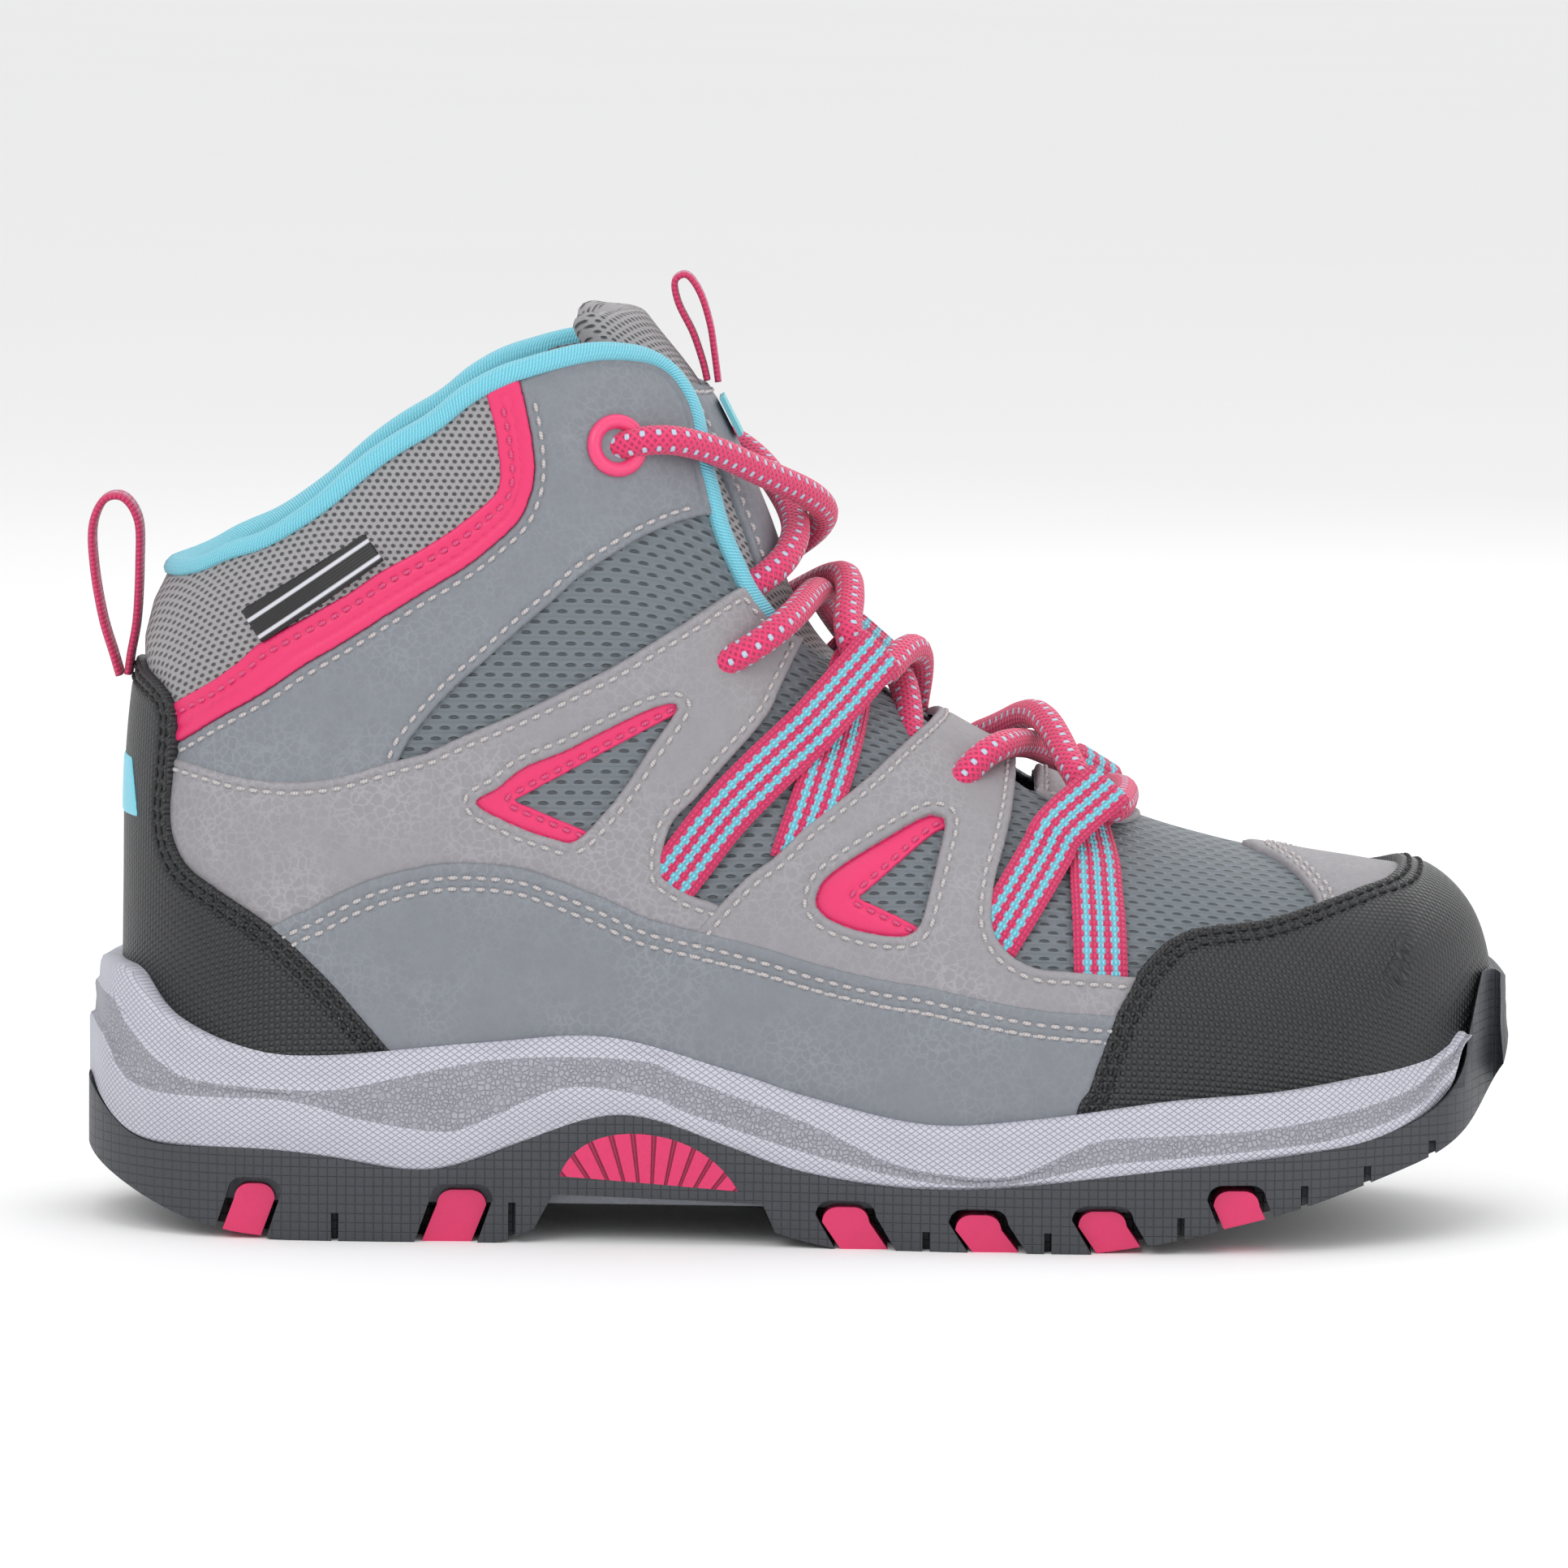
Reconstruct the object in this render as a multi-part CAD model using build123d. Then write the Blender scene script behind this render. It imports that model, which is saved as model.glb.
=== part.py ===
from build123d import *
from math import cos, hypot, pi, radians, sqrt, tan
import os

# A single right hiking boot for a child.  Toe along +X, outer (lateral) side along -Y, +Z up,
# sole on z = 0, origin at the middle of the footprint.  Millimetres.

# ---- driving dimensions -------------------------------------------------------------------
TEXTILE = 1.2        # outer fabric, inwards from the last surface
FOAM = 2.2           # foam and stiffeners behind the fabric
LINING = 1.0         # inner lining
PANEL = 1.3          # sewn leather panels, outwards from the last surface
GUARD = 2.2          # mudguard, toe cap and heel cap
TONGUE_SKIN = 1.6    # how far the tongue lies inside the last surface
TONGUE_THICK = 6.4
TONGUE_HALF = 21.5   # half width of the tongue
TONGUE_CLEAR = 0.8   # gap from the tongue's sides to the padding
TONGUE_HINGE = (34, 0, 68)
TONGUE_SWING = 5     # degrees that the tongue can lean back
FACE_HALF = 8.5      # half width of the panel on the tongue
FACE_SKIN = 0.2      # how far that panel lies inside the last surface
FACE_LIFT = -0.1     # underside of the badge, measured from the last surface
BADGE = (12, 7, 0.8)  # plain badge on the tongue: width, height, thickness
BOARD = 2.0          # insole board
SHANK_THICK = 1.0
SHANK_HALF = 8.0
SHANK_SPAN = (-50, 0)
FOOTBED = 4.5
FOOTBED_GAP = 0.4    # under the footbed
FOOTBED_EDGE = 0.9   # gap round the footbed
LACE = 4.8           # lace diameter
LACE_GAP = 0.35      # room round the lace
AGLET = 14.0         # length of a lace tip
CROSSING = 6.0       # height between two crossing laces
STRAP = 10.0         # webbing width
STRAP_THICK = 1.6
STRAP_LIFT = 0.1     # from the panels to the webbing
LOOP_WIDTH = 8.0     # pull loop of the tongue
LOOP_THICK = 1.2
HEEL_LOOP_THICK = 1.3
LOOP_BEND = 2.2      # bend radius of both pull loops
LABEL = 0.8
BINDING = 2.4        # height of the rolled binding on the collar edge
BINDING_OUT = 0.8    # how far the binding stands out from the last surface
EYELET_OUTER, EYELET_INNER, EYELET_THICK = 5.2, 2.9, 1.0
LUG_ROUND = 2.4      # rounding of a lug's head
NOTCH_GAP = 1.1      # gap round a lug
NOTCH_DEPTH = 9.0    # how deep the notches go into the sole's edge
RECESS = 1.4         # how far the lugs stand back from the sole's edge
SIPE_WIDTH, SIPE_DEPTH = 1.2, 3.0
CHANNEL_WIDTH, CHANNEL_LENGTH, CHANNEL_DEPTH = 4.0, 36.0, 4.5
REACH = 60.0         # beyond either side of the boot

# Level lines of the last, heel to front: front x, front z, back z, rounding across the front.
LEVELS = [
    (110.5, 6, 6, 24), (111, 18, 14, 24), (111.3, 32, 22, 24), (110.6, 43, 29, 22),
    (107.6, 51.2, 34.5, 20), (101.5, 56.6, 39, 20), (92.5, 58.4, 43, 23), (81, 60.2, 48, 27),
    (67.5, 63, 53, 30), (54, 67, 58, 31), (40.9, 73, 63.5, 31), (27.5, 79.2, 69.5, 31),
    (15, 87, 76, 31), (4.5, 95.8, 83, 31), (-1.3, 105.5, 90, 30), (-5.5, 116.5, 97, 29),
    (-10.5, 128, 104, 28), (-16.5, 139, 110, 27), (-24, 148.5, 115, 27), (-31, 158, 119, 27),
]
TOP = len(LEVELS) - 1
LEVEL_TABLE = [(i,) + row for i, row in enumerate(LEVELS)]

# Back line of the last: z, x.
BACK = [(6, -109.3), (30, -109.2), (55, -109), (75, -108.7), (90, -107.2), (100, -105), (125, -98.5)]
BACK_ROUND = 27.0

# Half widths along x: outer side low and high, inner side low and high.
WIDTHS = [
    (-125, 27, 25.5, 27, 25.5), (-100, 29, 27.5, 29, 27.5), (-70, 30.2, 29.5, 29, 29),
    (-35, 31, 29.5, 28.5, 28.5), (0, 33.5, 28, 31.5, 28), (25, 36.6, 29, 35.6, 29.5),
    (48, 38, 31, 38.6, 32), (68, 36.5, 31, 38.6, 33), (86, 32.5, 29, 36, 31),
    (100, 28, 25, 31.5, 28), (125, 18, 16, 22, 20),
]
LOW_Z, HIGH_Z = 28, 108


# ---- shape of the last --------------------------------------------------------------------
def blend(table, x, column):
    """Smooth value of one column of a table at x."""
    count = len(table)
    x = min(max(x, table[0][0]), table[-1][0])
    i = max(j for j in range(count - 1) if table[j][0] <= x)

    def slope(j):
        a, b = max(j - 1, 0), min(j + 1, count - 1)
        return (table[b][column] - table[a][column]) / (table[b][0] - table[a][0])

    step = table[i + 1][0] - table[i][0]
    t = (x - table[i][0]) / step
    value = (2 * t**3 - 3 * t * t + 1) * table[i][column]
    value += (t**3 - 2 * t * t + t) * step * slope(i)
    value += (3 * t * t - 2 * t**3) * table[i + 1][column]
    value += (t**3 - t * t) * step * slope(i + 1)
    return value


def front(v):
    return blend(LEVEL_TABLE, v, 1), blend(LEVEL_TABLE, v, 2)


def back(v):
    z = blend(LEVEL_TABLE, v, 3)
    return blend(BACK, z, 1), z


LINE_STEPS = 8
FRONT_LINE = [front(i / LINE_STEPS) for i in range(LINE_STEPS * TOP + 1)]
BACK_LINE = [back(i / LINE_STEPS) for i in range(LINE_STEPS * TOP + 1)]


def depth(line, x, z, side):
    """Distance inside a boundary line, and the level where it is nearest."""
    best, level = 1e9, 0
    for i in range(len(line) - 1):
        ax, az = line[i]
        dx, dz = line[i + 1][0] - ax, line[i + 1][1] - az
        t = min(1, max(0, ((x - ax) * dx + (z - az) * dz) / (dx * dx + dz * dz)))
        ex, ez = x - ax - t * dx, z - az - t * dz
        distance = hypot(ex, ez)
        if distance < abs(best):
            best = distance if (dx * ez - dz * ex) * side >= 0 else -distance
            level = (i + t) / LINE_STEPS
    return best, level


def rounding(d):
    d = min(1, max(0, d))
    return sqrt(1 - (1 - d)**2)


def half_width(x, z, side, k=0.0):
    """Half width of the last, grown by k, at a point of the side view; side is -1 or +1."""
    low, high = (1, 2) if side < 0 else (3, 4)
    s = min(1, max(0, (z - LOW_Z) / (HIGH_Z - LOW_Z)))
    s = s * s * (3 - 2 * s)
    width = blend(WIDTHS, x, low) * (1 - s) + blend(WIDTHS, x, high) * s
    d_front, level = depth(FRONT_LINE, x, z, 1)
    d_back, _ = depth(BACK_LINE, x, z, -1)
    r = blend(LEVEL_TABLE, level, 4)
    return (width + k) * rounding((d_front + k) / (r + k)) * rounding((d_back + k) / (BACK_ROUND + k))


def outward(curve, v, sign):
    a, b = curve(max(v - 0.05, 0)), curve(min(v + 0.05, TOP))
    dx, dz = b[0] - a[0], b[1] - a[1]
    length = hypot(dx, dz)
    return sign * dz / length, -sign * dx / length


RING_POINTS = 15
ARRIVAL = 0.25       # how far a level line runs straight before it meets the front line


def level_line(v, k):
    """Side-view line from the back line to the front line, square to both."""
    (bx, bz), (bnx, bnz) = back(v), outward(back, v, -1)
    (fx, fz), (fnx, fnz) = front(v), outward(front, v, 1)
    start, end = (bx + k * bnx, bz + k * bnz), (fx + k * fnx, fz + k * fnz)
    chord = hypot(end[0] - start[0], end[1] - start[1])
    leave = (-bnx * chord, -bnz * chord)
    arrive = (fnx * ARRIVAL * chord, fnz * ARRIVAL * chord)
    if v in (0, TOP):
        leave = arrive = (end[0] - start[0], end[1] - start[1])
    points = []
    for i in range(RING_POINTS):
        t = (1 - cos(pi * i / (RING_POINTS - 1))) / 2
        weights = (2 * t**3 - 3 * t * t + 1, t**3 - 2 * t * t + t, 3 * t * t - 2 * t**3, t**3 - t * t)
        points.append([sum(w * p[axis] for w, p in zip(weights, (start, leave, end, arrive)))
                       for axis in (0, 1)])
    return points


def last(k):
    """The foot-shaped solid, grown by k all round."""
    wires = []
    for v in range(TOP + 1):
        line = level_line(v, k)
        edges = []
        for side in (-1, 1):
            points = [Vector(x, side * half_width(x, z, side, k), z) for x, z in line]
            points[0] = Vector(line[0][0], 0, line[0][1])
            points[-1] = Vector(line[-1][0], 0, line[-1][1])
            if side > 0:
                points.reverse()
            spacing = [i / (RING_POINTS - 1) for i in range(RING_POINTS)]
            edges.append(Edge.make_spline(points, parameters=spacing))
        wires.append(Wire(edges))
    return Solid.make_loft(wires, ruled=True)


def on_last(x, z, side, k=0.0):
    """Point k above the last surface at a side-view place; side 0 is on the ridge line."""
    if side == 0:
        _, level = depth(FRONT_LINE, x, z, 1)
        (fx, fz), (nx, nz) = front(level), outward(front, level, 1)
        return Vector(fx + k * nx, 0, fz + k * nz)
    e = 0.5
    here = half_width(x, z, side)
    gx = (half_width(x + e, z, side) - half_width(x - e, z, side)) / (2 * e)
    gz = (half_width(x, z + e, side) - half_width(x, z - e, side)) / (2 * e)
    normal = Vector(-gx, side, -gz).normalized()
    return Vector(x, side * here, z) + normal * k


# ---- side-view zones ----------------------------------------------------------------------
def outline(*runs):
    """Closed side-view face; each run of points is a curve, joined by straight lines."""
    edges = []
    for i, run in enumerate(runs):
        points = [Vector(x, 0, z) for x, z in run]
        if len(points) > 2:
            edges.append(Edge.make_spline(points))
        elif len(points) == 2:
            edges.append(Edge.make_line(*points))
        following = runs[(i + 1) % len(runs)][0]
        if run[-1] != following:
            edges.append(Edge.make_line(points[-1], Vector(following[0], 0, following[1])))
    return Face(Wire(edges))


def zone(face, y0=-REACH, y1=REACH):
    """A side-view face carried across the boot from y0 to y1."""
    moved = face.moved(Location((0, y0, 0)))
    return Solid.extrude(moved, Vector(0, y1 - y0, 0))


def halves(solid):
    """Outer side and inner side of a solid that is cut at the middle plane."""
    size = 4 * REACH
    cutter = Solid.make_box(2 * size, size, 2 * size).moved(Location((-size, -size, -size)))
    return solid & cutter, solid - cutter


def save(name, *shapes):
    """Writes one node from all the solids in the given shapes."""
    solids = [s for shape in shapes for s in shape.solids() if s.volume > 1.0]
    node = solids[0] if len(solids) == 1 else Compound(solids)
    export_step(node, f"parts/{name}.step")


os.makedirs("parts", exist_ok=True)

FLOOR = [(-125, 26), (-90, 26), (-50, 26), (-28, 26), (0, 21), (25, 17), (50, 17), (80, 20.5), (102, 27), (125, 37)]


def raised(points, dz):
    return [(x, z + dz) for x, z in points]


COLLAR = [(-114, 105.6), (-104, 106), (-92.8, 110.1), (-78.4, 118.1), (-65.4, 128.5), (-49.6, 139),
          (-37, 143.4), (-27.3, 142.6), (-20.7, 137.9), (-17.7, 130.2), (-16, 122.3), (-13.3, 113.1),
          (-9.3, 104.5), (-4.6, 98.8), (4.6, 93), (15, 86), (28, 77.8), (38, 71.5)]
upper_zone = outline(COLLAR, [(39, 95), (130, 95)], raised(FLOOR, -BOARD)[::-1])

toe_zone = outline([(44.4, 10), (45, 20), (48, 30), (51.4, 38), (56.6, 46), (66.7, 50.6),
                    (80.4, 52.2), (90.9, 55), (97, 60), (98, 70)], [(130, 70), (130, 10)])
heel_zone = outline([(-125, 93), (-109.6, 91.8), (-103, 87.9), (-100.8, 80), (-101.9, 68), (-98.8, 59.3),
                     (-88.8, 52.8), (-75.5, 40.9), (-64.9, 29.1), (-60, 15)], [(-125, 15)])
guard_zone = outline([(-92, 46), (-84, 51.5), (-69.6, 58.5), (-57.9, 61.2), (-44.8, 60.4), (-31.7, 55.6),
                      (-12, 49.5), (14.2, 43.1), (40.4, 38.7), (62, 37)], [(62, 10), (-92, 10)])
guard_zone = guard_zone - heel_zone - toe_zone
MID_EDGE = [(-108, 76.4), (-91, 74.5), (-83, 74), (-71.3, 76), (-54.3, 82.1), (-30.8, 93.2),
            (-9.2, 106.2), (5, 115)]
mid_zone = outline(MID_EDGE, [(12, 92)],
                   [(20, 83.6), (26, 83.4), (31.5, 80), (34.3, 74), (33.2, 66), (30.8, 56), (31.5, 49.7),
                    (37.8, 45.2), (56, 43.6)], [(56, 20), (-108, 20)])
mid_zone = mid_zone - heel_zone - guard_zone - toe_zone
window_rear = outline([(-52.9, 70.8), (-45.1, 76.8), (-30.7, 83.6), (-20.5, 87.2)],
                      [(-20.5, 87.2), (-25.4, 79), (-31.9, 69.7), (-36.9, 64.6)],
                      [(-36.9, 64.6), (-46.3, 67.2), (-52.9, 70.8)])
window_fore = outline([(2.3, 55.5), (7.5, 62), (19.2, 68.3), (23, 68)],
                      [(23, 68), (21.9, 62.4), (20.6, 57.1), (18.1, 50.8)],
                      [(18.1, 50.8), (10.2, 50.7), (2.3, 55.5)])
mesh_rear = outline([(-46.5, 71.3), (-24.3, 82.6)], [(-35.2, 67.2)])
mesh_fore = outline([(9, 56), (20, 64.6)], [(17.5, 53.2)])
mid_zone = mid_zone - window_rear - window_fore
TRIM_LOW = [(-108, 75), (-99.6, 80.4), (-87.2, 88.4), (-67.6, 101.3), (-49.3, 113.8), (-44, 123),
            (-44.4, 131), (-47, 146)]
TRIM_HIGH = [(-53, 146), (-50, 132.2), (-49.2, 124), (-53.3, 118), (-72.9, 105.2), (-88, 95.9),
             (-100.6, 87), (-112, 80)]
trim_zone = outline(TRIM_LOW, TRIM_HIGH) - heel_zone
shaft_zone = outline(TRIM_LOW, [(-2, 146), (-2, 107)],
                     [(-7.3, 110.5), (-15.3, 117.5), (-25.8, 114.4), (-36.2, 107.9), (-51.9, 93.7),
                      (-62.3, 83), (-66, 72)], [(-108, 60)])
shaft_zone = shaft_zone - heel_zone - outline(MID_EDGE, [(12, 20), (-108, 20)])
vamp_zone = outline([(12, 87), (28, 75.5), (41, 69.5), (54.5, 66), (67.1, 62), (77.7, 58.5), (84, 53),
                     (85, 44)], [(110, 44), (110, 95), (12, 95)])
vamp_zone = vamp_zone - toe_zone - mid_zone - window_fore
mesh_collar_zone = outline(TRIM_HIGH[::-1], [(-53, 160), (-125, 160), (-125, 80)]) - heel_zone
tongue_zone = outline([(-34, 150), (-25, 131), (-22.5, 122), (-18.5, 110), (-9, 97.5), (2, 88), (15, 79.5),
                       (28, 72), (34, 69)], [(36, 84), (10, 110), (10, 151.5), (-34, 151.5)])
tongue_way = outline([(-64, 160), (-46, 118), (-32, 98), (0, 76), (30, 60)], [(46, 70), (46, 160)])
flap_zone = outline([(-45, 100), (-45, 160)], [(30, 160), (30, 80)])

# ---- lace -----------------------------------------------------------------------------------
def across(x, z, y, k):
    """Point near the ridge, y to the side of it and k above the surface."""
    top = on_last(x, z, 0, k)
    return Vector(top.X - abs(y) * 0.12, y, top.Z - abs(y) * 0.12)


def half_lace(s, low):
    """Lace from the middle of the front bar to its tail: x, z, side and height over the last."""
    rise = 0 if low else CROSSING
    return [
        across(52.4, 68, 6 * s, 4.8),
        on_last(49.6, 65.2, s, 5),
        on_last(45.4, 66.6, s, 5.4),
        on_last(41.4, 70.2, s, 5.4 + rise / 3),
        across(37.5, 74.6, 4 * s, 5.4 + rise),
        across(34.5, 76, -4 * s, 5.4 + rise),
        on_last(30.6, 75.2, -s, 5.6),
        on_last(27, 74.6, -s, 3.6),
        on_last(24.4, 72.8, -s, -1.2),
        on_last(20.4, 74.6, -s, -4.8),
        on_last(18.4, 80.4, -s, -1.6),
        across(15.6, 86.5, -4 * s, 3 + rise),
        across(12.6, 88.7, 4 * s, 4.2 + rise),
        on_last(10.2, 86.8, s, 5),
        on_last(6, 89.6, s, 5.4),
        on_last(2.4, 94.6, s, 4.6 + rise / 3),
        across(0.8, 100, 4 * s, 3 + rise),
        across(-0.6, 103.2, -4 * s, 3 + rise),
        on_last(-5.4, 98.8, -s, 5),
        on_last(-10, 95.2, -s, 4),
        on_last(-14.4, 92.6, -s, -1.2),
        on_last(-15.4, 97.6, -s, -5.2),
        on_last(-11, 103.4, -s, -3.6),
        on_last(-5.6, 107.4, -s, 1.8),
        across(-4.2, 112, -5 * s, 3.6 + rise),
        across(-5.6, 116, 4 * s, 3.8 + rise),
        on_last(-11.4, 122.4, s, 4.6),
        on_last(-18.6, 127, s, 4.4),
        on_last(-25.6, 129.2, s, 4.2),
        on_last(-30.8, 128.6, s, -0.4),
        on_last(-34.6, 126.6, s, -6.2),
        on_last(-41, 122.4, s, -7.9),
        on_last(-48, 116.6, s, -7.9),
    ]


def corner_radii(points):
    """Largest arc at each corner that its two runs allow."""
    radii = []
    for a, b, c in zip(points, points[1:], points[2:]):
        turn = radians((b - a).get_angle(c - b))
        radii.append(0.45 * min((b - a).length, (c - b).length) / tan(turn / 2))
    return radii


def tube(points, radius):
    path = FilletPolyline(*points, radius=corner_radii(points))
    wire = path if isinstance(path, Wire) else Wire(path.edges())
    start = Plane(origin=wire @ 0, z_dir=wire % 0)
    return Solid.sweep(Face(Wire(Edge.make_circle(radius, start))), wire)


outer_half = half_lace(-1, False)
inner_half = half_lace(1, True)
lace_points = inner_half[::-1] + outer_half
lace = tube(lace_points, LACE / 2)
lace_room = tube(lace_points, LACE / 2 + LACE_GAP)

# ---- shells of the last ---------------------------------------------------------------------
last_outer = last(0)
last_guard = last(GUARD)
last_panel = last(PANEL)
last_foam = last(-TEXTILE)
last_lining = last(-TEXTILE - FOAM)
last_inside = last(-TEXTILE - FOAM - LINING)

upper = zone(upper_zone)
textile_skin = (last_outer - last_foam) & upper
panel_skin = (last_panel - last_outer) & upper
guard_skin = (last_guard - last_outer) & upper
above_floor = zone(outline(FLOOR, [(125, 170), (-125, 170)]))
tongue_side = TONGUE_HALF + TONGUE_CLEAR
inner_zone = (upper & above_floor) - zone(tongue_way, -tongue_side, tongue_side)
foam_skin = (last_foam - last_lining) & inner_zone
lining = (last_lining - last_inside) & inner_zone
save("lining", lining - lace_room)

collar_mesh = textile_skin & zone(mesh_collar_zone)
for name, piece in zip(("collar_mesh_outer", "collar_mesh_inner"), halves(collar_mesh)):
    save(name, piece)
save("upper_textile", textile_skin - zone(mesh_collar_zone) - lace_room)

counter_zone = outline([(-125, 78), (-100, 78), (-70, 62), (-45, 40), (-40, 10)], [(-125, 10)])
puff_zone = outline([(66, 8), (86, 72)], [(130, 72), (130, 8)])
collar_zone = outline([(-125, 80), (-104, 82), (-70, 92), (-30, 100), (10, 104)], [(10, 160), (-125, 160)])
save("heel_counter", foam_skin & zone(counter_zone))
save("toe_puff", foam_skin & zone(puff_zone))
save("collar_padding", (foam_skin & zone(collar_zone)) - lace_room)
interlining = foam_skin - zone(counter_zone) - zone(puff_zone) - zone(collar_zone)
save("vamp_interlining", interlining - lace_room)

# ---- sewn panels ----------------------------------------------------------------------------
save("toe_cap", guard_skin & zone(toe_zone))
save("heel_cap", guard_skin & zone(heel_zone))
save("vamp_top", (panel_skin & zone(vamp_zone)) - lace_room)
side_panels = [
    ("mudguard", guard_skin, guard_zone), ("quarter_mid", panel_skin, mid_zone),
    ("quarter_upper", panel_skin, shaft_zone), ("collar_trim", panel_skin, trim_zone),
    ("window_trim_rear", panel_skin, window_rear - mesh_rear),
    ("window_trim_fore", panel_skin, window_fore - mesh_fore),
]
for name, skin, region in side_panels:
    for suffix, piece in zip(("outer", "inner"), halves(skin & zone(region))):
        if name.startswith("quarter"):
            piece = piece - lace_room
        save(f"{name}_{suffix}", piece)

# ---- collar binding -------------------------------------------------------------------------
edge_top = raised(COLLAR[1:7], BINDING)
edge_top += [(-25, 144.2), (-19.5, 138.6), (-15.8, 130.5), (-13.8, 122.8), (-11, 114), (-7.2, 105.8),
             (-3.6, 101.2)]
binding_zone = outline([(-104.4, 106)] + COLLAR[2:14], edge_top[::-1]) - upper_zone
last_binding = last(BINDING_OUT)
binding_rear = (last_binding - last_inside) & zone(binding_zone - flap_zone)
binding_flap = (last_binding - last_foam) & zone(binding_zone & flap_zone)
save("collar_binding_rear", binding_rear)
save("collar_binding_flap", binding_flap - lace_room)

# ---- tongue ---------------------------------------------------------------------------------
tongue_shell = last(-TONGUE_SKIN) - last(-TONGUE_SKIN - TONGUE_THICK)
tongue = tongue_shell & zone(tongue_zone, -TONGUE_HALF, TONGUE_HALF)
hinge = Axis(TONGUE_HINGE, (0, 1, 0))
for degrees in range(TONGUE_SWING + 1):
    tongue = tongue - lace_room.rotate(hinge, degrees)
save("tongue_pad", tongue)
face_zone = outline([(-32, 141), (-14, 137), (-4, 137)], [(6, 106), (-24, 104)])
tongue_face = (last(-FACE_SKIN) - last(-TONGUE_SKIN)) & zone(face_zone, -FACE_HALF, FACE_HALF)
save("tongue_face", tongue_face - lace_room)


def block(plane, width, height, thickness):
    """Box centred on a plane's origin and standing on it."""
    box = Solid.make_box(width, height, thickness).moved(Location((-width / 2, -height / 2, 0)))
    return plane.location * box


def ridge_plane(level, up):
    (x, z), (nx, nz) = front(level), outward(front, level, 1)
    return Plane(origin=(x + up * nx, 0, z + up * nz), x_dir=(0, 1, 0), z_dir=(nx, 0, nz))


BADGE_LEVEL = 16.35
save("tongue_badge", block(ridge_plane(BADGE_LEVEL, FACE_LIFT), *BADGE))


def loop(points, thickness, width):
    """Webbing loop that follows a line of the side view, centred on y = 0."""
    path = FilletPolyline(*[Vector(x, 0, z) for x, z in points], radius=LOOP_BEND)
    wire = path if isinstance(path, Wire) else Wire(path.edges())
    plane = Plane(origin=wire @ 0, x_dir=(0, 1, 0), z_dir=wire % 0)
    start = plane.location * Face(Wire.make_rect(width, thickness))
    return Solid.sweep(start, wire)


heel_loop_line = [(-112.8, 91), (-115.2, 98), (-116.6, 107), (-116.2, 115), (-113, 118.2), (-109.6, 115.6),
                  (-109, 107), (-109.4, 98), (-110.4, 91)]
save("heel_pull_loop", loop(heel_loop_line, HEEL_LOOP_THICK, STRAP))
tongue_loop_line = [(-14.4, 139.4), (-15.2, 146), (-17, 152.4), (-20.2, 155), (-21.6, 151.6), (-18.6, 146),
                    (-16.4, 140)]
save("tongue_pull_loop", loop(tongue_loop_line, LOOP_THICK, LOOP_WIDTH))

# ---- eyelets, webbing loops and small trim ----------------------------------------------------
EYELET = (-30.8, 128.7)
for name, side in (("outer", -1), ("inner", 1)):
    seat = on_last(*EYELET, side, PANEL)
    direction = on_last(*EYELET, side, PANEL + 1) - seat
    base = Plane(origin=seat, z_dir=direction)
    flange = Solid.make_cylinder(EYELET_OUTER, EYELET_THICK, base)
    hole = Solid.make_cylinder(EYELET_INNER, 3 * EYELET_THICK, base.offset(-EYELET_THICK))
    save(f"eyelet_{name}", flange - hole - lace_room)

label_zone = outline([(-89.4, 100.2), (-72, 112.4)], [(-69.2, 108.4), (-86.6, 96.4)])
save("side_label", (last(PANEL + LABEL) - last_panel) & zone(label_zone, -REACH, 0))

MIDDLE_GAP = 0.5     # from the middle plane to the webbing
strap_skin = last(PANEL + STRAP_LIFT + STRAP_THICK) - last(PANEL + STRAP_LIFT)
strap_legs = {
    "rear": [outline([(-22.7, 63), (-12.3, 77.7), (3, 92.4)], [(9.3, 86.6), (-7.6, 72), (-19, 58)]),
             outline([(-4.3, 58), (-2.2, 71), (1.2, 84.6)], [(9.7, 85.4), (7.9, 76), (6.2, 60)])],
    "fore": [outline([(30.9, 55), (34.4, 63), (41.6, 69.4)], [(48.2, 65), (39.2, 54.5), (33.3, 47.4)]),
             outline([(43.4, 44.4), (43.4, 56), (43.8, 66)], [(51, 64), (52.2, 56), (52.6, 43.4)])],
}
for place, legs in strap_legs.items():
    for name, side in (("outer", -1), ("inner", 1)):
        near = sorted((side * MIDDLE_GAP, side * REACH))
        first = strap_skin & zone(legs[0], *near)
        second = (strap_skin & zone(legs[1], *near)) - zone(legs[0], *near)
        save(f"webbing_{place}_{name}", first - lace_room, second - lace_room)

save("lace", lace)
for name, half in (("outer", outer_half), ("inner", inner_half)):
    tip = half[-1]
    line = (half[-1] - half[-2]).normalized()
    save(f"aglet_{name}", Solid.make_cylinder(LACE / 2, AGLET, Plane(origin=tip, z_dir=line)))

# ---- insole board, shank and footbed ------------------------------------------------------------
under_floor = outline(raised(FLOOR, -BOARD), FLOOR[::-1])
save("insole_board", last_foam & zone(under_floor))
footbed_zone = outline(raised(FLOOR, FOOTBED_GAP), raised(FLOOR, FOOTBED)[::-1])
save("footbed", last(-TEXTILE - FOAM - LINING - FOOTBED_EDGE) & zone(footbed_zone))
shank_zone = outline(raised(FLOOR, -BOARD - SHANK_THICK), raised(FLOOR, -BOARD)[::-1])
shank_box = Solid.make_box(SHANK_SPAN[1] - SHANK_SPAN[0], 2 * REACH, REACH)
shank = zone(shank_zone, -SHANK_HALF, SHANK_HALF) & shank_box.moved(Location((SHANK_SPAN[0], -REACH, 0)))
save("shank", shank)

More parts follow.
